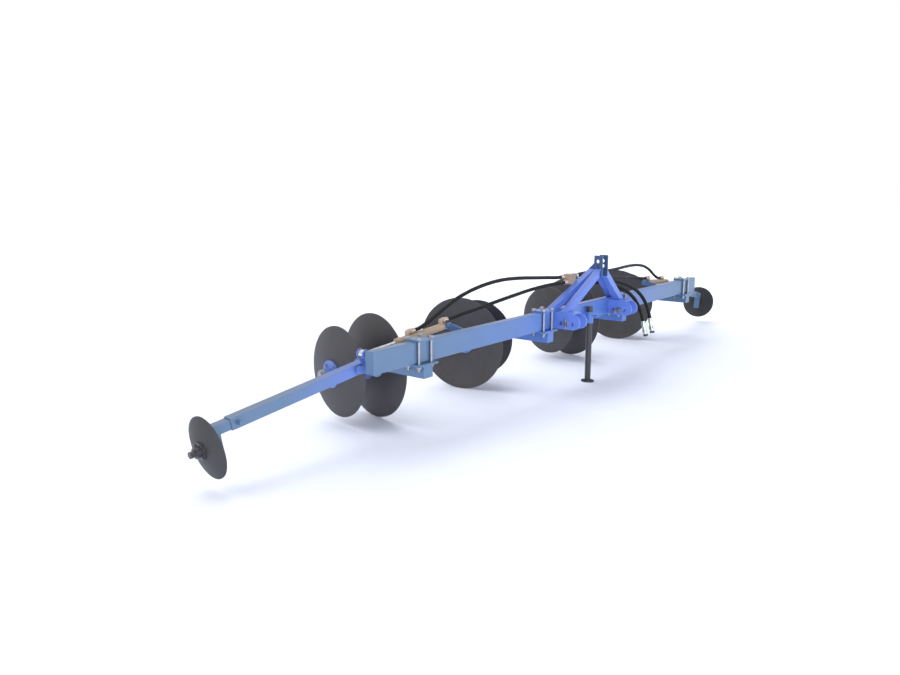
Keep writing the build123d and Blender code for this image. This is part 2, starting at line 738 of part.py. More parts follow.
tilt = radians(CYLINDER_TILT_DEG)
lever_lean = radians(CYLINDER_TILT_DEG + FOLD_HALF)
rod_pin_x = hinge_x - LEVER_RADIUS * sin(lever_lean)
rod_pin_z = HINGE_Z + LEVER_RADIUS * cos(lever_lean)


def along(distance, rise=0.0):
    # Point on the cylinder's line, measured inwards from the rod pin
    x = rod_pin_x + distance * cos(tilt) - rise * sin(tilt)
    z = rod_pin_z + distance * sin(tilt) + rise * cos(tilt)
    return (x, CYLINDER_Y, z)


def lever_point(radius):
    return (hinge_x - radius * sin(lever_lean), HINGE_Z + radius * cos(lever_lean))


web_out = -WEB_X - WEB_THICK
web_points = [
    (BAR_HALF, BAR_UNDERSIDE + BAR_CORNER),
    (BAR_HALF, BAR_TOP - BAR_CORNER),
    (WEB_STEP_Y - 30, BAR_TOP - BAR_CORNER),
    (WEB_STEP_Y, WEB_LOW_TOP + 60),
    (WEB_STEP_Y, WEB_LOW_TOP),
    (rear_lug_high, WEB_LOW_TOP),
    (rear_lug_high, WEB_FLOOR),
    (WEB_STEP_Y, WEB_FLOOR),
]
web_plane = Plane(origin=(web_out, 0, 0), x_dir=(0, 1, 0), z_dir=(1, 0, 0))
marker_bracket = web_plane * extrude(make_face(Polyline(*web_points, close=True)), amount=WEB_THICK)


def lug_face(end_radius):
    body = Pos((hinge_x + web_out) / 2, (WEB_FLOOR + WEB_LOW_TOP) / 2) * Rectangle(
        web_out - hinge_x, WEB_LOW_TOP - WEB_FLOOR
    )
    return body + spot(hinge_x, HINGE_Z, end_radius) - spot(hinge_x, HINGE_Z, HINGE_PIN_RADIUS)


for low, high in ((front_lug_low, front_lug_high), (rear_lug_low, rear_lug_high)):
    marker_bracket = marker_bracket + plate_y(lug_face(LUG_RADIUS), low, high)
save("marker_brackets", *both(marker_bracket))
hinge_pin = rod(
    (hinge_x, front_lug_low - PLATE_GAP, HINGE_Z), (hinge_x, rear_lug_high + PLATE_GAP, HINGE_Z), HINGE_PIN_RADIUS
)
hinge_head = rod(
    (hinge_x, front_lug_low - LUG, HINGE_Z), (hinge_x, front_lug_low, HINGE_Z), HINGE_PIN_RADIUS + 6
)
hinge_tail = rod(
    (hinge_x, rear_lug_high, HINGE_Z), (hinge_x, rear_lug_high + LUG, HINGE_Z), HINGE_PIN_RADIUS + 6
)
hinge_pin = hinge_pin + hinge_head + hinge_tail

# Marker arm frame: local X outwards along the tube, local Z up
droop = radians(ARM_DROOP_DEG)
sweep_turn = radians(ARM_SWEEP_DEG)
arm_run = (-cos(droop) * cos(sweep_turn), cos(droop) * sin(sweep_turn), -sin(droop))
arm_up = (-sin(droop) * cos(sweep_turn), sin(droop) * sin(sweep_turn), cos(droop))
arm = Plane(origin=(hinge_x, ARM_ROOT_Y, ARM_ROOT_Z), x_dir=arm_run, z_dir=arm_up)

half_arm = ARM_SIZE / 2
half_bore = INNER_SIZE / 2 + TUBE_GAP
outer_tube = box(-ARM_ROOT_TAIL, ARM_END, -half_arm, half_arm, -half_arm, half_arm)
outer_tube = arm * outer_tube
lever_top = lever_point(LEVER_RADIUS)
lever_low_r = LEVER_RADIUS * cos(radians(FOLD_HALF))
slot_low = lever_point(lever_low_r - 2)
slot_high = lever_point(LEVER_RADIUS + 2)
slot_half = ROD_PIN_RADIUS + SLOT_PLAY
tip_radius = slot_half + 13


def bar_face(start, end, half):
    # Flat bar between two points with round ends
    dx = end[0] - start[0]
    dz = end[1] - start[1]
    length = sqrt(dx * dx + dz * dz)
    side = (-dz / length * half, dx / length * half)
    corners = [
        (start[0] + side[0], start[1] + side[1]),
        (end[0] + side[0], end[1] + side[1]),
        (end[0] - side[0], end[1] - side[1]),
        (start[0] - side[0], start[1] - side[1]),
    ]
    return make_face(Polyline(*corners, close=True)) + spot(*start, half) + spot(*end, half)


pivot = (hinge_x, HINGE_Z)
lever_face = bar_face(pivot, lever_top, tip_radius) + spot(*pivot, HUB_PLATE_RADIUS)
lever_face = lever_face - bar_face(slot_low, slot_high, slot_half)
cheek_end = (
    hinge_x - CHEEK_REACH * cos(droop),
    ARM_ROOT_Z - CHEEK_REACH * sin(droop),
)
arm_cheek_face = bar_face(pivot, cheek_end, half_arm * 0.8) + spot(*pivot, HUB_PLATE_RADIUS)
marker_arm = outer_tube
marker_arm = marker_arm + plate_y(lever_face, rod_plate_low, rod_plate_low + CHEEK)
marker_arm = marker_arm + plate_y(lever_face + arm_cheek_face, rod_plate_high, rod_plate_high + CHEEK)
marker_arm = marker_arm + plate_y(arm_cheek_face, rear_cheek_low, rear_cheek_low + CHEEK)
bridge_face = spot(*pivot, HUB_PLATE_RADIUS - 8)
marker_arm = marker_arm + plate_y(bridge_face, rod_plate_low, rear_cheek_low)
marker_arm = marker_arm - rod(
    (hinge_x, front_lug_low, HINGE_Z), (hinge_x, rear_lug_high, HINGE_Z), HINGE_PIN_RADIUS + RUNNING_GAP
)
inner_clear = arm * box(INNER_START - 20, ARM_END + 1, -half_bore, half_bore, -half_bore, half_bore)
marker_arm = marker_arm - inner_clear
lug_z = ARM_LUG_RADIUS - half_arm - ARM_LUG_DROP
arm_lug = rod((ARM_LUG_AT, -half_arm, lug_z), (ARM_LUG_AT, half_arm, lug_z), ARM_LUG_RADIUS)
marker_arm = marker_arm + arm * arm_lug
root_hollow = arm * box(90, INNER_START - 30, -half_bore, half_bore, -half_bore, half_bore)
marker_arm = marker_arm - root_hollow
bolt_base = half_arm + ARM_BOSS_LENGTH
marker_arm = marker_arm + arm * (
    rod((ARM_BOLT_AT, half_bore, 0), (ARM_BOLT_AT, bolt_base, 0), ARM_BOSS_RADIUS)
    - rod((ARM_BOLT_AT, half_bore - 1, 0), (ARM_BOLT_AT, bolt_base + 1, 0), ARM_BOLT_RADIUS)
)
marker_arm = marker_arm - arm * rod(
    (ARM_BOLT_AT, half_bore - 1, 0), (ARM_BOLT_AT, bolt_base + 1, 0), ARM_BOLT_RADIUS
)
arm_bolt = rod((ARM_BOLT_AT, half_bore, 0), (ARM_BOLT_AT, bolt_base + 14, 0), ARM_BOLT_RADIUS)
arm_bolt = arm_bolt + hexagon(
    (ARM_BOLT_AT, bolt_base + 6, 0), (ARM_BOLT_AT, bolt_base + 16, 0), PAD_BOLT_FLATS
)
arm_bolt = arm * arm_bolt

half_inner = INNER_SIZE / 2
half_hole = half_inner - INNER_WALL
inner_tube = box(INNER_START, INNER_END, -half_inner, half_inner, -half_inner, half_inner)
inner_tube = inner_tube - box(
    INNER_START - 1, INNER_END - INNER_WALL, -half_hole, half_hole, -half_hole, half_hole
)
half_leg = LEG_SECTION / 2
inner_tube = inner_tube + box(
    INNER_END - LEG_SECTION, INNER_END, -half_leg, half_leg, -LEG_DROP, -half_inner
)
marker_plate_low = MARKER_RIM + MARKER_DISH
hub_low = INNER_END + 5
hub_high = marker_plate_low + MARKER_PLATE + MARKER_BOSS
spindle_end = hub_high - 14
spindle = rod((INNER_END, 0, -SPINDLE_DROP), (spindle_end, 0, -SPINDLE_DROP), SPINDLE_RADIUS)
marker_inner = arm * (inner_tube + spindle)

# Spindle frame: local Z outwards along the marker spindle, rim plane at 0
spindle_frame = Plane(
    origin=arm.from_local_coords(Vector(MARKER_RIM, 0, -SPINDLE_DROP)), x_dir=arm_up, z_dir=arm_run
)
marker_disc = disc_blank(MARKER_RADIUS, MARKER_DISH, MARKER_PLATE, MARKER_FLAT, MARKER_HUB_RADIUS)
marker_disc = Rot(180, 0, 0) * marker_disc
marker_disc = spindle_frame * marker_disc
bore = SPINDLE_RADIUS + RUNNING_GAP
marker_hub = turned(
    [
        (bore, hub_low - MARKER_RIM),
        (MARKER_HUB_RADIUS, hub_low - MARKER_RIM),
        (MARKER_HUB_RADIUS, MARKER_DISH + MARKER_PLATE),
        (MARKER_FLANGE, MARKER_DISH + MARKER_PLATE),
        (MARKER_FLANGE, MARKER_DISH + MARKER_PLATE + 10),
        (MARKER_HUB_RADIUS, MARKER_DISH + MARKER_PLATE + 10),
        (MARKER_HUB_RADIUS, hub_high - MARKER_RIM),
        (MARKER_CAP_RADIUS, hub_high - MARKER_RIM),
        (MARKER_CAP_RADIUS, hub_high - MARKER_RIM + MARKER_CAP),
        (0, hub_high - MARKER_RIM + MARKER_CAP),
        (0, spindle_end - MARKER_RIM + 4),
        (bore, spindle_end - MARKER_RIM + 4),
    ]
)
head_low = MARKER_DISH + MARKER_PLATE + 10
head_ring = (MARKER_FLANGE + MARKER_HUB_RADIUS) / 2
for k in range(4):
    x = head_ring * cos(pi / 2 * (k + 0.5))
    y = head_ring * sin(pi / 2 * (k + 0.5))
    marker_hub = marker_hub + hexagon((x, y, head_low), (x, y, head_low + MARKER_BOLT_HEAD), MARKER_BOLT_FLATS)
marker_hub = spindle_frame * marker_hub

# Lift cylinder
gland_start = along(GLAND_AT)
gland_end = along(GLAND_AT + GLAND_LENGTH)
barrel_end = along(BARREL_END)
base_eye = along(BASE_EYE_AT)
stroke = 2 * LEVER_RADIUS * sin(radians(FOLD_HALF))
eye_low = CYLINDER_Y - EYE_WIDTH / 2
eye_high = CYLINDER_Y + EYE_WIDTH / 2
barrel = rod(gland_start, barrel_end, BARREL_RADIUS) + rod(gland_start, gland_end, GLAND_RADIUS)
barrel = barrel + rod((base_eye[0], eye_low, base_eye[2]), (base_eye[0], eye_high, base_eye[2]), BASE_EYE_RADIUS)
barrel = barrel + rod(barrel_end, base_eye, BASE_EYE_RADIUS * 0.7)
barrel = barrel - rod(along(GLAND_AT - 1), gland_end, ROD_RADIUS + RUNNING_GAP)
barrel = barrel - rod(gland_end, along(BARREL_END - 14), PISTON_RADIUS + RUNNING_GAP)
barrel = barrel - rod(
    (base_eye[0], eye_low - 1, base_eye[2]), (base_eye[0], eye_high + 1, base_eye[2]), BASE_PIN_RADIUS
)
for at in (PORT_NEAR, PORT_FAR):
    stub_low = along(at, PISTON_RADIUS + 3)
    stub_high = along(at, BARREL_RADIUS + PORT_RISE)
    barrel = barrel + rod(stub_low, stub_high, PORT_RADIUS)
    knee = (stub_high[0], CYLINDER_Y, stub_high[2])
    barrel = barrel + Pos(*knee) * Sphere(PORT_RADIUS)
    barrel = barrel + rod(knee, (knee[0] + ELBOW_REACH, knee[1], knee[2]), PORT_RADIUS)
port_near = along(PORT_NEAR, BARREL_RADIUS + PORT_RISE)
port_far = along(PORT_FAR, BARREL_RADIUS + PORT_RISE)
save("cylinder_barrels", *both(barrel))

cylinder_rod = rod(along(0), along(ROD_LENGTH), ROD_RADIUS)
cylinder_rod = cylinder_rod + rod(
    along(ROD_LENGTH - PISTON_LENGTH), along(ROD_LENGTH), PISTON_RADIUS
)
cylinder_rod = cylinder_rod + rod(
    (rod_pin_x, eye_low, rod_pin_z), (rod_pin_x, eye_high, rod_pin_z), ROD_EYE_RADIUS
)
pin_front = rod_plate_low - PLATE_GAP
pin_back = rod_plate_high + CHEEK + PLATE_GAP
cylinder_rod = cylinder_rod + rod(
    (rod_pin_x, pin_front, rod_pin_z), (rod_pin_x, pin_back, rod_pin_z), ROD_PIN_RADIUS
)
cylinder_rod = cylinder_rod + hexagon(
    (rod_pin_x, pin_front - ROD_PIN_HEAD, rod_pin_z), (rod_pin_x, pin_front, rod_pin_z), ROD_PIN_FLATS
)
cylinder_rod = cylinder_rod + hexagon(
    (rod_pin_x, pin_back, rod_pin_z), (rod_pin_x, pin_back + ROD_PIN_HEAD, rod_pin_z), ROD_PIN_FLATS
)

# Base bracket of the cylinder, from the bar's rear face
lug_low = eye_low - LUG
lug_high = eye_high + LUG
base_web_out = -BASE_WEB_AT - BASE_WEB
base_top = base_eye[2] + BASE_EYE_RADIUS * 0.6
base_points = [
    (BAR_HALF, BASE_WEB_BOTTOM),
    (BAR_HALF, BAR_TOP - BAR_CORNER),
    (lug_low, base_top),
    (lug_high, base_top),
    (lug_high, base_eye[2] - BASE_EYE_RADIUS),
]
base_plane = Plane(origin=(base_web_out, 0, 0), x_dir=(0, 1, 0), z_dir=(1, 0, 0))
base_bracket = base_plane * extrude(make_face(Polyline(*base_points, close=True)), amount=BASE_WEB)
for low, high in ((lug_low, eye_low), (eye_high, lug_high)):
    face = bar_face((base_eye[0], base_eye[2]), (base_web_out, base_eye[2]), BASE_EYE_RADIUS)
    face = face & Pos(base_web_out - 100, base_eye[2]) * Rectangle(200, 200)
    face = face - spot(base_eye[0], base_eye[2], BASE_PIN_RADIUS)
    base_bracket = base_bracket + plate_y(face, low, high)
base_pin = rod(
    (base_eye[0], lug_low - 4, base_eye[2]), (base_eye[0], lug_high + 4, base_eye[2]), BASE_PIN_RADIUS
)
save("cylinder_brackets", *both(base_bracket))
save("marker_pins", *both(hinge_pin), *both(base_pin))

for side in ("left", "right"):
    turn = mirrored if side == "right" else (lambda s: s)
    save("marker_arm_" + side, turn(marker_arm), turn(arm_bolt))
    save("marker_inner_" + side, turn(marker_inner))
    save("marker_disc_" + side, turn(marker_disc))
    save("marker_hub_" + side, turn(marker_hub))
    save("cylinder_rod_" + side, turn(cylinder_rod))

# Hydraulic block on a plate that is cut to sit on the left rear strut
block_left = BLOCK_X - BLOCK_WIDTH / 2
block_right = BLOCK_X + BLOCK_WIDTH / 2
block_front = BLOCK_Y - BLOCK_DEPTH / 2
block = box(block_left, block_right, block_front, BLOCK_Y + BLOCK_DEPTH / 2, BLOCK_BOTTOM, BLOCK_TOP)
block_plate = box(
    block_left + 5, block_right - 5, block_front - BLOCK_PLATE, block_front, BLOCK_BOTTOM, BLOCK_TOP - 10
)
strut_run = Vector(REAR_STRUT_FOOT_X, 0, BAR_TOP) - Vector(head_out, -REAR_STRUT_TOP_Y, STRUT_TOP_Z)
strut_plane = Plane(
    origin=(head_out, -REAR_STRUT_TOP_Y, STRUT_TOP_Z),
    x_dir=Vector(0, 1, 0).cross(strut_run),
    z_dir=strut_run,
)
strut_core = mirrored(strut_plane * extrude(Rectangle(STRUT_SIZE, STRUT_SIZE), amount=strut_run.length))
block_plate = (block_plate - strut_core).solids().sort_by(SortBy.VOLUME)[-1]

high_row = BLOCK_TOP - (BLOCK_TOP - BLOCK_BOTTOM) / 4
low_row = BLOCK_BOTTOM + (BLOCK_TOP - BLOCK_BOTTOM) / 4
front_row = BLOCK_Y - BLOCK_DEPTH / 4
back_row = BLOCK_Y + BLOCK_DEPTH / 4


def fitting(x, way, y, z):
    mid = x + way * FITTING_LENGTH / 2
    end = x + way * FITTING_LENGTH
    piece = hexagon((x, y, z), (mid, y, z), FITTING_HEX)
    return piece + rod((mid, y, z), (end, y, z), FITTING_RADIUS)


block = block + fitting(block_left, -1, back_row, high_row)
block = block + fitting(block_left, -1, front_row, low_row)
for y in (front_row, back_row):
    for z in (low_row, high_row):
        block = block + fitting(block_right, 1, y, z)
save("manifold", block, block_plate)


# Hoses: straight runs joined by tangent arcs
def hose(name, points, radius):
    points = [Vector(*p) for p in points]
    radii = []
    for a, b, c in zip(points, points[1:], points[2:]):
        before = b - a
        after = c - b
        turn = radians(before.get_angle(after))
        radii.append(0.45 * min(before.length, after.length) / tan(turn / 2))
    path = FilletPolyline(*points, radius=radii)
    start = Plane(origin=points[0], z_dir=points[1] - points[0])
    tube = sweep(start * Circle(radius), path=path)
    print(name, "length", round(path.length), "tightest bend", round(min(radii)))
    print("  volume over section by length", round(tube.volume / (pi * radius**2 * path.length), 4))
    save(name, tube)


left_out = block_left - FITTING_LENGTH
right_out = block_right + FITTING_LENGTH
near_start = port_near[0] + ELBOW_REACH
far_start = port_far[0] + ELBOW_REACH

hose(
    "hose_left_near",
    [
        (near_start, CYLINDER_Y, port_near[2]),
        (near_start + 70, CYLINDER_Y, port_near[2]),
        (-1588, 143, 650),
        (-1478, 122, 714),
        (-1360, 100, 774),
        (-1195, 77, 820),
        (-1000, 55, 846),
        (-800, 40, 842),
        (-600, 36, 825),
        (-440, 40, 812),
        (left_out - 75, back_row, high_row),
        (left_out, back_row, high_row),
    ],
    HOSE_RADIUS,
)
hose(
    "hose_left_far",
    [
        (far_start, CYLINDER_Y, port_far[2]),
        (far_start + 75, CYLINDER_Y, port_far[2]),
        (-1270, 136, 656),
        (-1140, 113, 674),
        (-1000, 90, 699),
        (-850, 64, 723),
        (-690, 40, 747),
        (-540, 18, 762),
        (-400, 4, 768),
        (left_out - 70, front_row, low_row),
        (left_out, front_row, low_row),
    ],
    HOSE_RADIUS,
)
hose(
    "hose_right_near",
    [
        (right_out, back_row, high_row),
        (right_out + 90, back_row, high_row),
        (100, 44, 802),
        (280, 48, 791),
        (470, 56, 783),
        (660, 66, 783),
        (860, 81, 787),
        (1060, 97, 783),
        (1240, 113, 762),
        (1400, 128, 718),
        (1524, 143, 662),
        (1608, 152, 628),
        (-near_start - 70, CYLINDER_Y, port_near[2]),
        (-near_start, CYLINDER_Y, port_near[2]),
    ],
    HOSE_RADIUS,
)
hose(
    "hose_right_far",
    [
        (right_out, back_row, low_row),
        (right_out + 90, back_row, low_row),
        (100, 46, 757),
        (280, 54, 743),
        (460, 64, 729),
        (640, 76, 713),
        (810, 92, 698),
        (970, 110, 682),
        (1120, 127, 663),
        (1258, 144, 648),
        (-far_start - 75, CYLINDER_Y, port_far[2]),
        (-far_start, CYLINDER_Y, port_far[2]),
    ],
    HOSE_RADIUS,
)
supply_one = [
    (right_out, front_row, high_row),
    (right_out + 100, front_row, high_row),
    (110, 1, 781),
    (240, -4, 757),
    (385, -34, 724),
    (530, -62, 690),
    (648, -88, 643),
    (735, -112, 584),
    (784, -138, 510),
    (798, -163, 432),
    (792, -184, 354),
]
supply_two = [
    (right_out, front_row, low_row),
    (right_out + 90, front_row, low_row),
    (90, 7, 743),
    (210, 16, 722),
    (320, 18, 703),
    (430, -34, 677),
    (530, -80, 635),
    (610, -108, 576),
    (656, -136, 504),
    (670, -161, 426),
    (666, -184, 346),
]
hose("hose_supply_one", supply_one, SUPPLY_RADIUS)
hose("hose_supply_two", supply_two, SUPPLY_RADIUS)


def coupler(points):
    end = Vector(*points[-1])
    run = (end - Vector(*points[-2])).normalized()
    frame = Plane(origin=end, z_dir=run)
    low = COUPLER_LENGTH * 0.25
    mid = COUPLER_LENGTH * 0.7
    body = turned(
        [
            (0, 0),
            (COUPLER_RADIUS * 0.8, 0),
            (COUPLER_RADIUS * 0.8, low),
            (COUPLER_RADIUS, low),
            (COUPLER_RADIUS, mid),
            (COUPLER_RADIUS * 0.72, mid),
            (COUPLER_RADIUS * 0.72, COUPLER_LENGTH),
            (0, COUPLER_LENGTH),
        ]
    )
    return frame * body


save("coupler_one", coupler(supply_one))
save("coupler_two", coupler(supply_two))
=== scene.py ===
import json
import math

import bpy
from mathutils import Matrix, Vector


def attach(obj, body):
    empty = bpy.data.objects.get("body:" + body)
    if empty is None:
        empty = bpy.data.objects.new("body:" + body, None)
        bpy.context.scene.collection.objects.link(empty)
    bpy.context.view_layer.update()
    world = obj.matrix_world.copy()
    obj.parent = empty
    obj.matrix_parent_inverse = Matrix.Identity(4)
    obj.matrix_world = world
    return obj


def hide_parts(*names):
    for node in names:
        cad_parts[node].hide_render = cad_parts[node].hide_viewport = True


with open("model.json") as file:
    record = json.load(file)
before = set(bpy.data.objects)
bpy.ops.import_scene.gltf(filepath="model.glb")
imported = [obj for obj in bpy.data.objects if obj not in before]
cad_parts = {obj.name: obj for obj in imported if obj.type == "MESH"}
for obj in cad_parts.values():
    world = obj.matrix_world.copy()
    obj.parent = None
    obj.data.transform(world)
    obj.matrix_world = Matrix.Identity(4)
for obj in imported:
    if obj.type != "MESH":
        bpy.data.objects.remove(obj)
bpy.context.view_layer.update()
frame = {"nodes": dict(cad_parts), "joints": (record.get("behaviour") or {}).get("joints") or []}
nodes = frame["nodes"]
scene = bpy.context.scene
scene.view_settings.view_transform = "Standard"


# Colours
def srgb(r, g, b):
    def one(c):
        c = c / 255.0
        if c <= 0.04045:
            return c / 12.92
        return ((c + 0.055) / 1.055) ** 2.4

    return (one(r), one(g), one(b), 1.0)


def scaled(color, k):
    return (min(1.0, color[0] * k), min(1.0, color[1] * k), min(1.0, color[2] * k), 1.0)


BLUE = srgb(92, 127, 222)
BAR_BLUE = srgb(86, 126, 206)
BAR_END_BLUE = srgb(92, 124, 161)
ARM_ROOT_BLUE = srgb(102, 131, 206)
ARM_BLUE = srgb(98, 127, 162)
HUB_BLUE = srgb(104, 133, 208)
# Lighter copy of the machine's blue for the link brackets: painted light, where the brackets stand
# brighter lit
LINK_LIT_BLUE = srgb(104, 137, 228)
HEAD_BLUE = srgb(54, 83, 130)
BEIGE = srgb(194, 170, 146)
BLOCK_TAN = srgb(182, 162, 150)
BLACK = srgb(54, 55, 60)
ZINC = srgb(160, 162, 168)
FITTING = srgb(196, 180, 168)
CHROME = srgb(214, 216, 220)
COUPLER = srgb(184, 196, 190)
HOSE = srgb(13, 13, 15)
DISC = srgb(80, 79, 82)
MARKER = srgb(66, 66, 68)


# Materials
class Tree:
    # Helper round one node tree: a material's own, the world's, or a group that several materials share
    def __init__(self, tree):
        self.tree = tree
        self.tree.nodes.clear()
        self.coord = self.add("ShaderNodeTexCoord")
        self.place = self.coord.outputs["Object"]

    def add(self, kind, **values):
        node = self.tree.nodes.new(kind)
        for key, value in values.items():
            setattr(node, key, value)
        return node

    def feed(self, value, socket):
        # A socket takes a plain value or another node's output
        if isinstance(value, (int, float, tuple)):
            socket.default_value = value
        else:
            self.tree.links.new(value, socket)

    def noise(self, scale, detail=4.0, rough=0.55, place=None):
        node = self.add("ShaderNodeTexNoise")
        self.feed(scale, node.inputs["Scale"])
        self.feed(detail, node.inputs["Detail"])
        self.feed(rough, node.inputs["Roughness"])
        self.feed(place or self.place, node.inputs["Vector"])
        return node.outputs["Fac"]

    def span(self, value, low, high, a=0.0, b=1.0):
        # Values from a to b become values from low to high
        node = self.add("ShaderNodeMapRange")
        self.feed(value, node.inputs["Value"])
        self.feed(a, node.inputs["From Min"])
        self.feed(b, node.inputs["From Max"])
        self.feed(low, node.inputs["To Min"])
        self.feed(high, node.inputs["To Max"])
        return node.outputs["Result"]

    def mix(self, share, a, b):
        node = self.add("ShaderNodeMix", data_type="RGBA")
        self.feed(share, node.inputs[0])
        self.feed(a, node.inputs[6])
        self.feed(b, node.inputs[7])
        return node.outputs[2]

    def math(self, kind, a, b=0.0):
        node = self.add("ShaderNodeMath", operation=kind)
        self.feed(a, node.inputs[0])
        self.feed(b, node.inputs[1])
        return node.outputs[0]

    def vector(self, kind, a, b=None):
        node = self.add("ShaderNodeVectorMath", operation=kind)
        self.feed(a, node.inputs[0])
        if b is not None:
            self.feed(b, node.inputs["Scale"] if kind == "SCALE" else node.inputs[1])
        return node.outputs["Value"] if kind in ("DOT_PRODUCT", "LENGTH") else node.outputs["Vector"]

    def effect(self, group, **values):
        # One of the shared effects, with this material's own values
        node = self.add("ShaderNodeGroup", node_tree=group)
        for key, value in values.items():
            self.feed(value, node.inputs[key])
        return node.outputs


SOCKETS = {"color": "NodeSocketColor", "value": "NodeSocketFloat", "normal": "NodeSocketVector"}


def shared_effect(name, inputs, outputs):
    group = bpy.data.node_groups.new(name, "ShaderNodeTree")
    for label, kind in inputs.items():
        group.interface.new_socket(name=label, in_out="INPUT", socket_type=SOCKETS[kind])
    for label, kind in outputs.items():
        group.interface.new_socket(name=label, in_out="OUTPUT", socket_type=SOCKETS[kind])
    tree = Tree(group)
    tree.given = tree.add("NodeGroupInput").outputs
    tree.result = tree.add("NodeGroupOutput").inputs
    return group, tree


# Broad lighter and darker clouds in a colour
clouding, t = shared_effect(
    "clouding",
    {"Color": "color", "Size": "value", "Dark": "value", "Light": "value"},
    {"Color": "color", "Cloud": "value"},
)
cloud = t.noise(t.given["Size"], 5.0, 0.6)
shade = t.span(cloud, t.given["Dark"], t.given["Light"], 0.3, 0.75)
t.feed(t.vector("SCALE", t.given["Color"], shade), t.result["Color"])
t.feed(cloud, t.result["Cloud"])

# Small specks of a second colour
specks, t = shared_effect(
    "specks",
    {"Color": "color", "Speck": "color", "Size": "value", "Amount": "value"},
    {"Color": "color"},
)
spots = t.span(t.noise(t.given["Size"], 3.0, 0.6), 0.0, t.given["Amount"], 0.45, 0.75)
t.feed(t.mix(spots, t.given["Color"], t.given["Speck"]), t.result["Color"])

# Sharp edges turned to a second colour in broken patches: rubbed wear, and on the painted parts also a
# painted highlight along the edges
edge_wear_and_highlight, t = shared_effect(
    "edge_wear_and_highlight",
    {"Color": "color", "Bare": "color", "Width": "value", "Amount": "value"},
    {"Color": "color"},
)
bevel = t.add("ShaderNodeBevel", samples=6)
t.feed(t.given["Width"], bevel.inputs["Radius"])
flat = t.add("ShaderNodeNewGeometry")
turn = t.vector("DOT_PRODUCT", bevel.outputs["Normal"], flat.outputs["Normal"])
edge = t.span(turn, 1.0, 0.0, 0.72, 0.99)
patches = t.span(t.noise(120.0, 5.0, 0.7), 0.0, 1.0, 0.45, 0.7)
# Pale edge patches: wear, and on painted parts a painted highlight where light would catch the edges
pale_edge_share = t.math("MULTIPLY", t.math("MULTIPLY", edge, patches), t.given["Amount"])
t.feed(t.mix(pale_edge_share, t.given["Color"], t.given["Bare"]), t.result["Color"])

# Relief over slightly rounded edges
relief, t = shared_effect(
    "relief",
    {"Height": "value", "Strength": "value", "Depth": "value", "Rounding": "value"},
    {"Normal": "normal"},
)
bevel = t.add("ShaderNodeBevel", samples=4)
t.feed(t.given["Rounding"], bevel.inputs["Radius"])
bump = t.add("ShaderNodeBump")
t.feed(t.given["Height"], bump.inputs["Height"])
t.feed(t.given["Strength"], bump.inputs["Strength"])
t.feed(t.given["Depth"], bump.inputs["Distance"])
t.feed(bevel.outputs["Normal"], bump.inputs["Normal"])
t.feed(bump.outputs["Normal"], t.result["Normal"])


class Finish(Tree):
    # One material with its surface shader
    def __init__(self, name):
        self.mat = bpy.data.materials.new(name)
        self.mat.use_nodes = True
        super().__init__(self.mat.node_tree)
        self.surface = self.add("ShaderNodeBsdfPrincipled")
        out = self.add("ShaderNodeOutputMaterial")
        self.feed(self.surface.outputs["BSDF"], out.inputs["Surface"])

    def put(self, **values):
        for key, value in values.items():
            self.feed(value, self.surface.inputs[key.replace("_", " ")])
        return self.mat


def paint(name, color, edge_wear_and_highlight_amount=0.4, rough=0.38, coat=0.2, ends=None, fade=(0.5, 1.7)):
    # Sprayed paint: slight clouds, orange peel, pale edges that are partly wear and partly a painted
    # highlight; fades to a second blue along the machine
    m = Finish(name)
    tone = color
    if ends:
        split = m.add("ShaderNodeSeparateXYZ")
        m.feed(m.place, split.inputs["Vector"])
        outwards = m.span(m.math("ABSOLUTE", split.outputs["X"]), 0.0, 1.0, fade[0], fade[1])
        tone = m.mix(outwards, color, ends)
    clouds = m.effect(clouding, Color=tone, Size=2.2, Dark=0.92, Light=1.06)
    dark = scaled(color, 0.72)
    pale = scaled(color, 2.0)
    tone = m.effect(specks, Color=clouds["Color"], Speck=dark, Size=38.0, Amount=0.10)["Color"]
    # Pale edges: partly worn paint, partly painted highlight along the sharp edges
    tone = m.effect(edge_wear_and_highlight, Color=tone, Bare=pale, Width=0.004, Amount=edge_wear_and_highlight_amount)["Color"]
    grain = m.noise(420.0, 2.0, 0.5)
    peel = m.effect(relief, Height=grain, Strength=0.05, Depth=0.0006, Rounding=0.0018)
    return m.put(
        Base_Color=tone,
        Roughness=m.span(clouds["Cloud"], rough - 0.06, rough + 0.1, 0.3, 0.7),
        Normal=peel["Normal"],
        Coat_Weight=coat,
        Coat_Roughness=0.18,
        Specular_IOR_Level=0.5,
    )


def plated(name, color, rough=0.3, scratch=900.0):
    # Plated or machined steel with fine scratches along it and faint clouds
    m = Finish(name)
    stretch = m.add("ShaderNodeMapping")
    stretch.inputs["Scale"].default_value = (1.0, 0.06, 0.06)
    m.feed(m.place, stretch.inputs["Vector"])
    lines = m.noise(scratch, 2.0, 0.5, stretch.outputs["Vector"])
    clouds = m.effect(clouding, Color=color, Size=30.0, Dark=0.82, Light=1.08)
    tone = m.mix(m.span(lines, 0.0, 0.22, 0.5, 0.7), clouds["Color"], scaled(color, 0.6))
    fine = m.effect(relief, Height=lines, Strength=0.06, Depth=0.0003, Rounding=0.0008)
    return m.put(
        Base_Color=tone,
        Metallic=1.0,
        Roughness=m.span(clouds["Cloud"], rough - 0.07, rough + 0.12, 0.3, 0.7),
        Normal=fine["Normal"],
    )


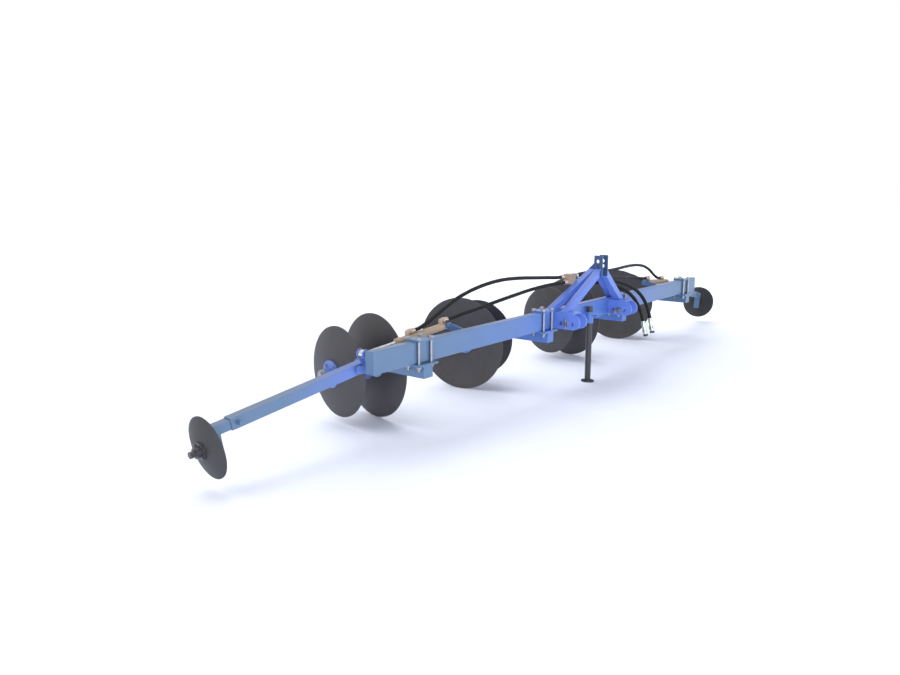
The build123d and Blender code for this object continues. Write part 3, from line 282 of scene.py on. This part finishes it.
def blade(name, color, centre, axis):
    # Rolled disc blade: faint turned rings about its own axle, cloudy mill scale and a worn rim
    m = Finish(name)
    arm = m.vector("SUBTRACT", m.place, centre)
    along = m.vector("DOT_PRODUCT", arm, axis)
    length = m.vector("LENGTH", arm)
    across = m.math("SUBTRACT", m.math("MULTIPLY", length, length), m.math("MULTIPLY", along, along))
    radius = m.math("SQRT", m.math("ABSOLUTE", across))
    wobble = m.math("MULTIPLY", m.noise(9.0, 3.0), 0.004)
    ring_place = m.add("ShaderNodeCombineXYZ")
    m.feed(m.math("ADD", radius, wobble), ring_place.inputs["X"])
    rings = m.noise(260.0, 3.0, 0.6, ring_place.outputs["Vector"])
    clouds = m.effect(clouding, Color=color, Size=6.0, Dark=0.84, Light=1.14)
    tone = m.mix(m.span(rings, 0.0, 0.28, 0.42, 0.72), clouds["Color"], scaled(color, 0.68))
    tone = m.effect(edge_wear_and_highlight, Color=tone, Bare=scaled(color, 2.6), Width=0.002, Amount=0.5)["Color"]
    turned_marks = m.effect(relief, Height=rings, Strength=0.12, Depth=0.0006, Rounding=0.001)
    return m.put(
        Base_Color=tone,
        Metallic=0.12,
        Roughness=m.span(clouds["Cloud"], 0.46, 0.62, 0.3, 0.7),
        Normal=turned_marks["Normal"],
        Specular_IOR_Level=0.35,
    )


def hose_cover(name, color):
    # Hose cover: matt rubber with a fine cloth-wrapped grain and dusty patches
    m = Finish(name)
    wave = m.add("ShaderNodeTexWave", wave_type="BANDS", bands_direction="DIAGONAL")
    wave.inputs["Scale"].default_value = 160.0
    wave.inputs["Distortion"].default_value = 1.2
    m.feed(m.place, wave.inputs["Vector"])
    clouds = m.effect(clouding, Color=color, Size=14.0, Dark=0.9, Light=1.6)
    wrap = m.effect(relief, Height=wave.outputs["Fac"], Strength=0.22, Depth=0.0005, Rounding=0.0003)
    return m.put(
        Base_Color=clouds["Color"],
        Roughness=m.span(clouds["Cloud"], 0.45, 0.62, 0.3, 0.7),
        Normal=wrap["Normal"],
        Specular_IOR_Level=0.22,
    )


def painted_weld(name, color):
    # Painted weld: the paint's colour over the ripples of the bead
    m = Finish(name)
    ripple = m.add("ShaderNodeTexVoronoi")
    ripple.inputs["Scale"].default_value = 240.0
    m.feed(m.place, ripple.inputs["Vector"])
    depth = ripple.outputs["Distance"]
    clouds = m.effect(clouding, Color=color, Size=60.0, Dark=0.9, Light=1.06)
    tone = m.mix(m.span(depth, 0.0, 0.5, 0.0, 0.8), clouds["Color"], scaled(color, 0.7))
    bead = m.effect(relief, Height=depth, Strength=0.8, Depth=0.0015, Rounding=0.0004)
    return m.put(
        Base_Color=tone,
        Roughness=m.span(clouds["Cloud"], 0.36, 0.52),
        Normal=bead["Normal"],
        Specular_IOR_Level=0.5,
    )


blue = paint("blue_paint", BLUE)
bar_blue = paint("bar_blue_paint", BAR_BLUE, ends=BAR_END_BLUE)
arm_blue = paint("arm_blue_paint", ARM_ROOT_BLUE, rough=0.36, ends=ARM_BLUE, fade=(2.2, 2.6))
hub_blue = paint("hub_blue_paint", HUB_BLUE, rough=0.34)
# The link brackets' paint is the machine's blue lightened as painted light
link_lit_blue = paint("link_lit_blue_paint", LINK_LIT_BLUE)
head_blue = paint("head_blue_paint", HEAD_BLUE)
weld_blue = painted_weld("weld_blue_paint", BLUE)
beige = paint("beige_paint", BEIGE, edge_wear_and_highlight_amount=0.15, rough=0.42)
block_tan = paint("block_tan_paint", BLOCK_TAN, edge_wear_and_highlight_amount=0.3, rough=0.36)
black = paint("black_paint", BLACK, edge_wear_and_highlight_amount=0.35, rough=0.42)
zinc = plated("zinc_steel", ZINC, rough=0.34)
fitting = plated("fitting_steel", FITTING, rough=0.32)
chrome = plated("chrome_rod", CHROME, rough=0.12, scratch=2200.0)
coupler_metal = plated("coupler_steel", COUPLER, rough=0.28)
hose_black = hose_cover("hose_rubber", HOSE)


# Finishes of the machine's own solids; within a node, a solid shorter than this reach is a bolt or nut
BOLT_REACH = 0.1
FLANGE_BOLT_REACH = 0.07


def wear(node, material):
    data = nodes[node].data
    data.materials.clear()
    data.materials.append(material)


def small_solids(node, limit, material):
    # Bolts and nuts within a node take their own finish: faces are gathered into solids by shared corners
    data = nodes[node].data
    data.materials.append(material)
    keys = [tuple(round(c, 5) for c in v.co) for v in data.vertices]
    leader = {}

    def find(key):
        leader.setdefault(key, key)
        while leader[key] != key:
            leader[key] = leader[leader[key]]
            key = leader[key]
        return key

    for polygon in data.polygons:
        first = find(keys[polygon.vertices[0]])
        for index in polygon.vertices[1:]:
            leader[find(keys[index])] = first
    low = {}
    high = {}
    for key in set(keys):
        root = find(key)
        low[root] = [min(a, b) for a, b in zip(low.get(root, key), key)]
        high[root] = [max(a, b) for a, b in zip(high.get(root, key), key)]
    for polygon in data.polygons:
        root = find(keys[polygon.vertices[0]])
        reach = max(b - a for a, b in zip(low[root], high[root]))
        if reach < limit:
            polygon.material_index = 1


for name in nodes:
    wear(name, blue)
for name in ("toolbar", "clamp_top_plates", "stand_socket", "marker_brackets", "cylinder_brackets"):
    wear(name, bar_blue)
for letter in "abcd":
    wear("shank_" + letter, bar_blue)
# The link brackets take the lighter copy of the blue, as painted light
wear("lower_link_brackets", link_lit_blue)
wear("mast_head", head_blue)
for name in ("gang_bearings", "clamp_bolts", "clamp_nuts", "pad_bolts", "lower_link_pins", "marker_pins"):
    wear(name, zinc)
for side in ("left", "right"):
    wear("marker_arm_" + side, arm_blue)
    small_solids("marker_arm_" + side, BOLT_REACH, zinc)
    wear("marker_inner_" + side, arm_blue)
    wear("marker_hub_" + side, black)
    wear("cylinder_rod_" + side, chrome)
wear("cylinder_barrels", beige)
wear("manifold", block_tan)
wear("coupler_one", coupler_metal)
wear("coupler_two", coupler_metal)
wear("stand_leg", black)
small_solids("stand_socket", BOLT_REACH, black)

joint_of = {j["child"]: j for j in frame["joints"]}
for letter in "abcd":
    joint = joint_of["gang_" + letter]
    metal = blade("disc_steel_" + letter, DISC, tuple(joint["pos_m"]), tuple(joint["axis"]))
    wear("disc_large_" + letter, metal)
    wear("disc_small_" + letter, metal)
    wear("gang_hubs_" + letter, hub_blue)
    small_solids("gang_hubs_" + letter, FLANGE_BOLT_REACH, zinc)
    wear("gang_shaft_" + letter, zinc)
for side in ("left", "right"):
    joint = joint_of["marker_" + side]
    metal = blade("marker_steel_" + side, MARKER, tuple(joint["pos_m"]), tuple(joint["axis"]))
    wear("marker_disc_" + side, metal)

# Hoses on the routes of their solids; these points are in millimetres from the bar's middle
ROW_Y = 58.0
CYLINDER_Y = 158.0
NEAR_X = 1745.1
NEAR_Z = 607.94
FAR_X = 1441.17
FAR_Z = 633.46
LEFT_OUT = -256.0
RIGHT_OUT = -146.0
FRONT_ROW = -5.0
BACK_ROW = 25.0
HIGH_ROW = 802.0
LOW_ROW = 766.0
HOSE_DIAMETER = 0.024
SUPPLY_DIAMETER = 0.028

ROUTES = {
    "hose_left_near": [
        (-NEAR_X, CYLINDER_Y, NEAR_Z),
        (-NEAR_X + 70, CYLINDER_Y, NEAR_Z),
        (-1588, 143, 650),
        (-1478, 122, 714),
        (-1360, 100, 774),
        (-1195, 77, 820),
        (-1000, 55, 846),
        (-800, 40, 842),
        (-600, 36, 825),
        (-440, 40, 812),
        (LEFT_OUT - 75, BACK_ROW, HIGH_ROW),
        (LEFT_OUT, BACK_ROW, HIGH_ROW),
    ],
    "hose_left_far": [
        (-FAR_X, CYLINDER_Y, FAR_Z),
        (-FAR_X + 75, CYLINDER_Y, FAR_Z),
        (-1270, 136, 656),
        (-1140, 113, 674),
        (-1000, 90, 699),
        (-850, 64, 723),
        (-690, 40, 747),
        (-540, 18, 762),
        (-400, 4, 768),
        (LEFT_OUT - 70, FRONT_ROW, LOW_ROW),
        (LEFT_OUT, FRONT_ROW, LOW_ROW),
    ],
    "hose_right_near": [
        (RIGHT_OUT, BACK_ROW, HIGH_ROW),
        (RIGHT_OUT + 90, BACK_ROW, HIGH_ROW),
        (100, 44, 802),
        (280, 48, 791),
        (470, 56, 783),
        (660, 66, 783),
        (860, 81, 787),
        (1060, 97, 783),
        (1240, 113, 762),
        (1400, 128, 718),
        (1524, 143, 662),
        (1608, 152, 628),
        (NEAR_X - 70, CYLINDER_Y, NEAR_Z),
        (NEAR_X, CYLINDER_Y, NEAR_Z),
    ],
    "hose_right_far": [
        (RIGHT_OUT, BACK_ROW, LOW_ROW),
        (RIGHT_OUT + 90, BACK_ROW, LOW_ROW),
        (100, 46, 757),
        (280, 54, 743),
        (460, 64, 729),
        (640, 76, 713),
        (810, 92, 698),
        (970, 110, 682),
        (1120, 127, 663),
        (1258, 144, 648),
        (FAR_X - 75, CYLINDER_Y, FAR_Z),
        (FAR_X, CYLINDER_Y, FAR_Z),
    ],
    "hose_supply_one": [
        (RIGHT_OUT, FRONT_ROW, HIGH_ROW),
        (RIGHT_OUT + 100, FRONT_ROW, HIGH_ROW),
        (110, 1, 781),
        (240, -4, 757),
        (385, -34, 724),
        (530, -62, 690),
        (648, -88, 643),
        (735, -112, 584),
        (784, -138, 510),
        (798, -163, 432),
        (792, -184, 354),
    ],
    "hose_supply_two": [
        (RIGHT_OUT, FRONT_ROW, LOW_ROW),
        (RIGHT_OUT + 90, FRONT_ROW, LOW_ROW),
        (90, 7, 743),
        (210, 16, 722),
        (320, 18, 703),
        (430, -34, 677),
        (530, -80, 635),
        (610, -108, 576),
        (656, -136, 504),
        (670, -161, 426),
        (666, -184, 346),
    ],
}


def metres(point):
    return Vector((point[0], point[1] + ROW_Y, point[2])) / 1000.0


def fitted(piece, name, body, material):
    # A finished piece gets its name, its finish and the body that it moves with
    piece.name = name
    piece.data.name = name + "_shape"
    piece.data.materials.clear()
    piece.data.materials.append(material)
    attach(piece, body)
    return piece


def hose(name, diameter):
    points = [metres(p) for p in ROUTES[name]]
    data = bpy.data.curves.new(name + "_line", "CURVE")
    data.dimensions = "3D"
    spline = data.splines.new("NURBS")
    spline.points.add(len(points) - 1)
    for knot, point in zip(spline.points, points):
        knot.co = (point.x, point.y, point.z, 1.0)
    spline.order_u = 3
    spline.use_endpoint_u = True
    spline.resolution_u = 12
    data.bevel_depth = diameter / 2
    data.bevel_resolution = 5
    data.use_fill_caps = True
    piece = bpy.data.objects.new(name + "_cover", data)
    scene.collection.objects.link(piece)
    fitted(piece, name + "_cover", "frame", hose_black)
    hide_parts(name)


for name in ("hose_left_near", "hose_left_far", "hose_right_near", "hose_right_far"):
    hose(name, HOSE_DIAMETER)
hose("hose_supply_one", SUPPLY_DIAMETER)
hose("hose_supply_two", SUPPLY_DIAMETER)


# Bench work: how the small fittings are shaped
def drawn_path(points, closed=False):
    # A single corner is drawn out into a chain of edges
    bpy.ops.object.select_all(action="DESELECT")
    bpy.ops.mesh.primitive_plane_add(size=0.01, location=(0.0, 0.0, 0.0))
    piece = bpy.context.object
    bpy.ops.object.mode_set(mode="EDIT")
    bpy.ops.mesh.select_mode(type="VERT")
    bpy.ops.mesh.select_all(action="SELECT")
    bpy.ops.mesh.merge(type="CENTER")
    bpy.ops.transform.translate(value=points[0])
    for a, b in zip(points, points[1:]):
        bpy.ops.mesh.extrude_region_move(TRANSFORM_OT_translate={"value": b - a})
    bpy.ops.object.mode_set(mode="OBJECT")
    if closed:
        last = len(piece.data.vertices) - 1
        for vertex in piece.data.vertices:
            vertex.select = vertex.index in (0, last)
        bpy.ops.object.mode_set(mode="EDIT")
        bpy.ops.mesh.edge_face_add()
        bpy.ops.object.mode_set(mode="OBJECT")
    return piece


def turned(profile, steps):
    # A profile of (height, radius) that starts and ends on its axis, spun right round
    piece = drawn_path([Vector((radius, 0.0, height)) for height, radius in profile])
    bpy.ops.object.mode_set(mode="EDIT")
    bpy.ops.mesh.select_all(action="SELECT")
    bpy.ops.mesh.spin(steps=steps, angle=2 * math.pi, center=(0.0, 0.0, 0.0), axis=(0.0, 0.0, 1.0))
    bpy.ops.mesh.select_all(action="SELECT")
    bpy.ops.mesh.remove_doubles(threshold=0.00001)
    bpy.ops.mesh.normals_make_consistent(inside=False)
    bpy.ops.object.mode_set(mode="OBJECT")
    bpy.ops.object.shade_smooth_by_angle(angle=math.radians(35))
    return piece


def wire(piece, radius, ripple=0.0):
    # Round wire or weld bead along a drawn path; ripple swells every other step
    bpy.ops.object.convert(target="CURVE")
    piece = bpy.context.object
    for spline in piece.data.splines:
        for k, point in enumerate(spline.points):
            point.radius = 1.0 + ripple * (k % 2)
    piece.data.bevel_depth = radius
    piece.data.bevel_resolution = 3
    piece.data.use_fill_caps = True
    bpy.ops.object.convert(target="MESH")
    piece = bpy.context.object
    bpy.ops.object.mode_set(mode="EDIT")
    bpy.ops.mesh.select_all(action="SELECT")
    bpy.ops.mesh.remove_doubles(threshold=0.00001)
    bpy.ops.mesh.normals_make_consistent(inside=False)
    bpy.ops.object.mode_set(mode="OBJECT")
    bpy.ops.object.shade_smooth_by_angle(angle=math.radians(60))
    return piece


def pick_ends(piece):
    # Selects the faces that look along the piece's own axis
    bpy.ops.object.mode_set(mode="EDIT")
    bpy.ops.mesh.select_mode(type="FACE")
    bpy.ops.mesh.select_all(action="DESELECT")
    bpy.ops.object.mode_set(mode="OBJECT")
    for face in piece.data.polygons:
        face.select = abs(face.normal.z) > 0.99
    bpy.ops.object.mode_set(mode="EDIT")


def standing(start, run):
    # Carries a piece made on the Z axis to its start, along its run
    return Matrix.Translation(start) @ run.to_track_quat("Z", "Y").to_matrix().to_4x4()


def spread(pattern, places, body, material):
    # One finished pattern is copied to its places, each copy with its own mesh
    for name, matrix in places.items():
        piece = pattern.copy()
        piece.data = pattern.data.copy()
        piece.data.transform(matrix)
        scene.collection.objects.link(piece)
        fitted(piece, name, body, material)
    bpy.data.objects.remove(pattern)


# Crimped sleeves on the hose ends, with three pressed grooves
FERRULE_LENGTH = 0.034
FERRULE_BACK = 0.003
FERRULE_WALL = 0.0035
FERRULE_LIP = 0.0008
FERRULE_CHAMFER = 0.002
FERRULE_SIDES = 28
GROOVE_DEPTH = 0.0016
GROOVE_SLOPE = 0.001
GROOVE_FLOOR_END = 0.004
GROOVE_WIDTH = 0.005
GROOVES_AT = (0.007, 0.014, 0.021)


def ferrule(radius):
    out = radius + FERRULE_WALL
    sunk = out - GROOVE_DEPTH
    profile = [(-FERRULE_BACK, 0.0), (-FERRULE_BACK, out)]
    for at in GROOVES_AT:
        profile += [(at, out), (at + GROOVE_SLOPE, sunk)]
        profile += [(at + GROOVE_FLOOR_END, sunk), (at + GROOVE_WIDTH, out)]
    profile += [(FERRULE_LENGTH - FERRULE_CHAMFER, out)]
    profile += [(FERRULE_LENGTH, radius + FERRULE_LIP), (FERRULE_LENGTH, 0.0)]
    return turned(profile, FERRULE_SIDES)


for word, diameter in (("supply", SUPPLY_DIAMETER), ("right", HOSE_DIAMETER), ("left", HOSE_DIAMETER)):
    places = {}
    for name, route in ROUTES.items():
        if word in name:
            line = [metres(p) for p in route]
            places[name + "_ferrule_start"] = standing(line[0], line[1] - line[0])
            places[name + "_ferrule_end"] = standing(line[-1], line[-2] - line[-1])
    metal = coupler_metal if word == "supply" else fitting
    spread(ferrule(diameter / 2), places, "frame", metal)

# Swivel nuts on the cylinder ports: six sides, chamfered, with a sunk collar at each end
NUT_RADIUS = 0.0178
NUT_HEIGHT = 0.013
NUT_CHAMFER = 0.0016
NUT_COLLAR = 0.0022
NUT_COLLAR_SUNK = 0.0012
NUT_OFF_PORT = 0.002
bpy.ops.object.select_all(action="DESELECT")
bpy.ops.mesh.primitive_cylinder_add(
    vertices=6, radius=NUT_RADIUS, depth=NUT_HEIGHT, location=(0.0, 0.0, 0.0)
)
port_nut = bpy.context.object
pick_ends(port_nut)
bpy.ops.mesh.bevel(offset=NUT_CHAMFER, segments=2, affect="EDGES")
bpy.ops.object.mode_set(mode="OBJECT")
pick_ends(port_nut)
bpy.ops.mesh.inset(thickness=NUT_COLLAR, depth=-NUT_COLLAR_SUNK)
bpy.ops.object.mode_set(mode="OBJECT")
bpy.ops.object.shade_smooth_by_angle(angle=math.radians(30))
places = {}
for side, way in (("left", -1), ("right", 1)):
    for place, x, z in (("near", NEAR_X, NEAR_Z), ("far", FAR_X, FAR_Z)):
        outwards = Vector((way, 0, 0))
        middle = metres((way * x, CYLINDER_Y, z)) + outwards * (NUT_OFF_PORT + NUT_HEIGHT / 2)
        places["port_nut_" + place + "_" + side] = standing(middle, outwards)
spread(port_nut, places, "frame", fitting)

# Knurled sliding sleeve and end collar of each quick coupler
SLEEVE_START = 0.030
SLEEVE_END = 0.060
SLEEVE_EDGE = 0.0195
SLEEVE_RIDGE = 0.0203
SLEEVE_VALLEY = 0.0193
SLEEVE_RIDGES = 7
FIRST_RIDGE = 0.031
RIDGE_PITCH = 0.004
RIDGE_WIDTH = 0.0022
VALLEY_START = 0.003
VALLEY_END = 0.0038
COUPLER_SIDES = 32
sleeve_profile = [(SLEEVE_START, 0.0), (SLEEVE_START, SLEEVE_EDGE)]
for k in range(SLEEVE_RIDGES):
    at = FIRST_RIDGE + k * RIDGE_PITCH
    sleeve_profile += [(at, SLEEVE_RIDGE), (at + RIDGE_WIDTH, SLEEVE_RIDGE)]
    sleeve_profile += [(at + VALLEY_START, SLEEVE_VALLEY), (at + VALLEY_END, SLEEVE_VALLEY)]
sleeve_profile += [(SLEEVE_END, SLEEVE_RIDGE), (SLEEVE_END, 0.0)]
collar_profile = [
    (0.070, 0.0),
    (0.070, 0.0176),
    (0.071, 0.0196),
    (0.082, 0.0196),
    (0.084, 0.0184),
    (0.0885, 0.0184),
    (0.0885, 0.0),
]
sleeves = {}
collars = {}
for word in ("one", "two"):
    line = [metres(p) for p in ROUTES["hose_supply_" + word][-2:]]
    sleeves["coupler_sleeve_" + word] = standing(line[1], line[1] - line[0])
    collars["coupler_collar_" + word] = standing(line[1], line[1] - line[0])
spread(turned(sleeve_profile, COUPLER_SIDES), sleeves, "frame", coupler_metal)
spread(turned(collar_profile, COUPLER_SIDES), collars, "frame", black)

# Spring rings of the two linchpins, a little taller than wide and leaning outwards
LINK_Y = -121.0
LINK_Z = 503.0
LINCH_X = 458.0
RING_OUT = 3.0
RING_UP = 9.0
RING_RADIUS = 0.024
RING_WIRE = 0.0022
RING_NARROWED = 0.94
RING_LEAN = 0.08
RING_SIDES = 40
for side, way in (("left", -1), ("right", 1)):
    bpy.ops.object.select_all(action="DESELECT")
    bpy.ops.mesh.primitive_circle_add(
        vertices=RING_SIDES, radius=RING_RADIUS, rotation=(0.0, math.pi / 2, 0.0)
    )
    bpy.ops.object.transform_apply(location=True, rotation=True, scale=True)
    bpy.ops.object.mode_set(mode="EDIT")
    bpy.ops.mesh.select_all(action="SELECT")
    bpy.ops.transform.resize(value=(1.0, RING_NARROWED, 1.0))
    bpy.ops.object.mode_set(mode="OBJECT")
    ring = wire(bpy.context.object, RING_WIRE)
    lean = Matrix.Rotation(-RING_LEAN * way, 4, "Y")
    middle = metres((way * (LINCH_X + RING_OUT), LINK_Y, LINK_Z + RING_UP))
    ring.data.transform(Matrix.Translation(middle) @ lean)
    fitted(ring, "linchpin_ring_" + side, "frame", zinc)

# Weld beads: strut feet, link plates and stand socket
BAR_TOP = 592.0
BAR_FRONT = -30.0
COVER_TOP = 580.0
BEAD_RADIUS = 0.0036
BEAD_RIPPLE = 0.22
FRONT_FOOT = [(440, -66, COVER_TOP), (440, -113, COVER_TOP), (354, -118, COVER_TOP), (354, -71, COVER_TOP)]
REAR_FOOT = [(487, 24, BAR_TOP), (481, -18, BAR_TOP), (396, -28, BAR_TOP), (400, 16, BAR_TOP)]
LINK_WELDS_X = (340.0, 354.0, 433.0, 447.0)
LINK_WELD_LOW = 470.0
LINK_WELD_HIGH = 566.0
SOCKET_WELD_X = 22.4
SOCKET_WELD_HIGH = 523.0
FOOT_CUTS = 11
LINK_CUTS = 18
SOCKET_CUTS = 12


def bead(name, points, cuts, closed=False):
    path = drawn_path([metres(p) for p in points], closed)
    bpy.ops.object.mode_set(mode="EDIT")
    bpy.ops.mesh.select_all(action="SELECT")
    bpy.ops.mesh.subdivide(number_cuts=cuts)
    bpy.ops.object.mode_set(mode="OBJECT")
    fitted(wire(path, BEAD_RADIUS, BEAD_RIPPLE), name, "frame", weld_blue)


for side, way in (("left", -1), ("right", 1)):
    bead("front_strut_weld_" + side, [(way * x, y, z) for x, y, z in FRONT_FOOT], FOOT_CUTS, True)
    bead("rear_strut_weld_" + side, [(way * x, y, z) for x, y, z in REAR_FOOT], FOOT_CUTS, True)
    for k, x in enumerate(LINK_WELDS_X):
        run = [(way * x, BAR_FRONT, z) for z in (LINK_WELD_LOW, LINK_WELD_HIGH)]
        bead("link_plate_weld_%s_%d" % (side, k), run, LINK_CUTS)
    run = [(way * SOCKET_WELD_X, BAR_FRONT, z) for z in (LINK_WELD_LOW, SOCKET_WELD_HIGH)]
    bead("socket_weld_" + side, run, SOCKET_CUTS)

# Grease nipples on the bearing housings
NIPPLE = [
    (-0.002, 0.0),
    (-0.002, 0.0045),
    (0.004, 0.0045),
    (0.005, 0.0032),
    (0.009, 0.0026),
    (0.011, 0.0034),
    (0.013, 0.002),
    (0.013, 0.0),
]
HOUSING_RADIUS = 0.048
NIPPLE_AT = 0.037
NIPPLE_SIDES = 16
places = {}
for letter in "abcd":
    joint = joint_of["gang_" + letter]
    axis = Vector(joint["axis"]).normalized()
    out = Vector((0, 0, -1)).cross(axis).normalized()
    if out.y > 0:
        out = -out
    seat = Vector(joint["pos_m"]) + out * HOUSING_RADIUS + axis * NIPPLE_AT
    places["grease_nipple_" + letter] = standing(seat, out)
spread(turned(NIPPLE, NIPPLE_SIDES), places, "frame", fitting)

# Floor: white to the eye away from the machine, with the machine's shadow on it
FLOOR_SIZE = 120.0
FLOOR_TONE = srgb(196, 201, 215)
GLOW_TONE = (0.92, 0.94, 1.0, 1.0)
GLOW = 0.3
GLOW_STARTS = 2.5
GLOW_FULL = 5.0
bpy.ops.object.select_all(action="DESELECT")
bpy.ops.mesh.primitive_plane_add(size=FLOOR_SIZE, location=(0.0, 0.0, 0.0))
floor = bpy.context.object
floor.name = "floor"
f = Finish("floor_pale")
seen = f.add("ShaderNodeLightPath")
direct = f.math("MAXIMUM", seen.outputs["Is Camera Ray"], seen.outputs["Is Glossy Ray"])
direct = f.math("MAXIMUM", direct, seen.outputs["Is Transmission Ray"])
away = f.span(f.vector("LENGTH", f.place), 0.0, GLOW, GLOW_STARTS, GLOW_FULL)
tone = f.effect(clouding, Color=FLOOR_TONE, Size=3.0, Dark=0.98, Light=1.02)
f.put(
    Base_Color=tone["Color"],
    Roughness=0.9,
    Specular_IOR_Level=0.1,
    Emission_Color=GLOW_TONE,
    Emission_Strength=f.math("MULTIPLY", direct, away),
)
floor.data.materials.append(f.mat)

# World: plain soft light, white where the camera or a reflection sees it
SOFT_TONE = (0.95, 0.97, 1.0, 1.0)
SOFT_LIGHT = 0.3
WHITE = (1.0, 1.0, 1.0, 1.0)
world = bpy.data.worlds.new("studio")
scene.world = world
world.use_nodes = True
w = Tree(world.node_tree)
soft = w.add("ShaderNodeBackground")
soft.inputs["Color"].default_value = SOFT_TONE
soft.inputs["Strength"].default_value = SOFT_LIGHT
white = w.add("ShaderNodeBackground")
white.inputs["Color"].default_value = WHITE
white.inputs["Strength"].default_value = 1.0
path = w.add("ShaderNodeLightPath")
either = w.math("MAXIMUM", path.outputs["Is Camera Ray"], path.outputs["Is Glossy Ray"])
blend = w.add("ShaderNodeMixShader")
w.feed(w.math("MAXIMUM", either, path.outputs["Is Transmission Ray"]), blend.inputs["Fac"])
w.feed(soft.outputs[0], blend.inputs[1])
w.feed(white.outputs[0], blend.inputs[2])
w.feed(blend.outputs[0], w.add("ShaderNodeOutputWorld").inputs["Surface"])

# Lamps
WARM = (1.0, 0.99, 0.97)
COOL = (0.95, 0.97, 1.0)
MIDDLE = (0.0, 0.0, 0.0)
TOP_SPREAD_DEG = 60.0
PANEL_LENGTH = 5.0
PANEL_HEIGHT = 1.8


def lamp(name, kind, place, target, energy, color):
    # A light that stands at its place and points at its target
    data = bpy.data.lights.new(name, kind)
    data.energy = energy
    data.color = color
    light = bpy.data.objects.new(name, data)
    scene.collection.objects.link(light)
    light.location = place
    aim = Vector(target) - Vector(place)
    light.rotation_euler = aim.to_track_quat("-Z", "Y").to_euler()
    return light


top = lamp("top", "SUN", (-0.3, 1.4, 7.0), MIDDLE, 1.25, WARM)
top.data.angle = math.radians(TOP_SPREAD_DEG)

# More soft lights fall on the floor alone, so that the machine's shadow lies broad and soft on it;
# each has its place, its strength and the angle in degrees that its light spreads over
floor_only = bpy.data.collections.new("floor_only")
floor_only.objects.link(floor)
SHADES = {
    "shade_above": ((-0.3, 1.6, 7.0), 0.8, 30.0),
    "shade_left": ((-4.5, 5.0, 4.6), 2.5, 66.0),
    "shade_right": ((4.5, 5.0, 4.6), 2.5, 66.0),
}
for name, (place, energy, angle) in SHADES.items():
    shade = lamp(name, "SUN", place, MIDDLE, energy, WARM)
    shade.data.angle = math.radians(angle)
    shade.light_linking.receiver_collection = floor_only

# Two long panels light the machine from the front
key = lamp("key", "AREA", (-5.5, -5.0, 1.6), (-0.6, 0.2, 0.5), 225.0, WARM)
fill = lamp("fill", "AREA", (3.8, -6.0, 1.5), (1.0, 0.2, 0.5), 96.0, COOL)
for light in (key, fill):
    light.data.shape = "RECTANGLE"
    light.data.size = PANEL_LENGTH
    light.data.size_y = PANEL_HEIGHT

# Camera, from the fit of the disc rims in the photograph
CAMERA_AT = (-5.0114, -2.7149, 1.4254)
CAMERA_DOWN_DEG = 11.03
CAMERA_HEADING_DEG = 38.88
SENSOR = 36.0
LENS = 30.73
camera_data = bpy.data.cameras.new("camera")
camera_data.sensor_fit = "HORIZONTAL"
camera_data.sensor_width = SENSOR
camera_data.lens = LENS
camera_data.clip_end = 200.0
camera = bpy.data.objects.new("camera", camera_data)
scene.collection.objects.link(camera)
camera.location = CAMERA_AT
camera.rotation_euler = (math.radians(90 - CAMERA_DOWN_DEG), 0.0, math.radians(CAMERA_HEADING_DEG - 90))
scene.camera = camera
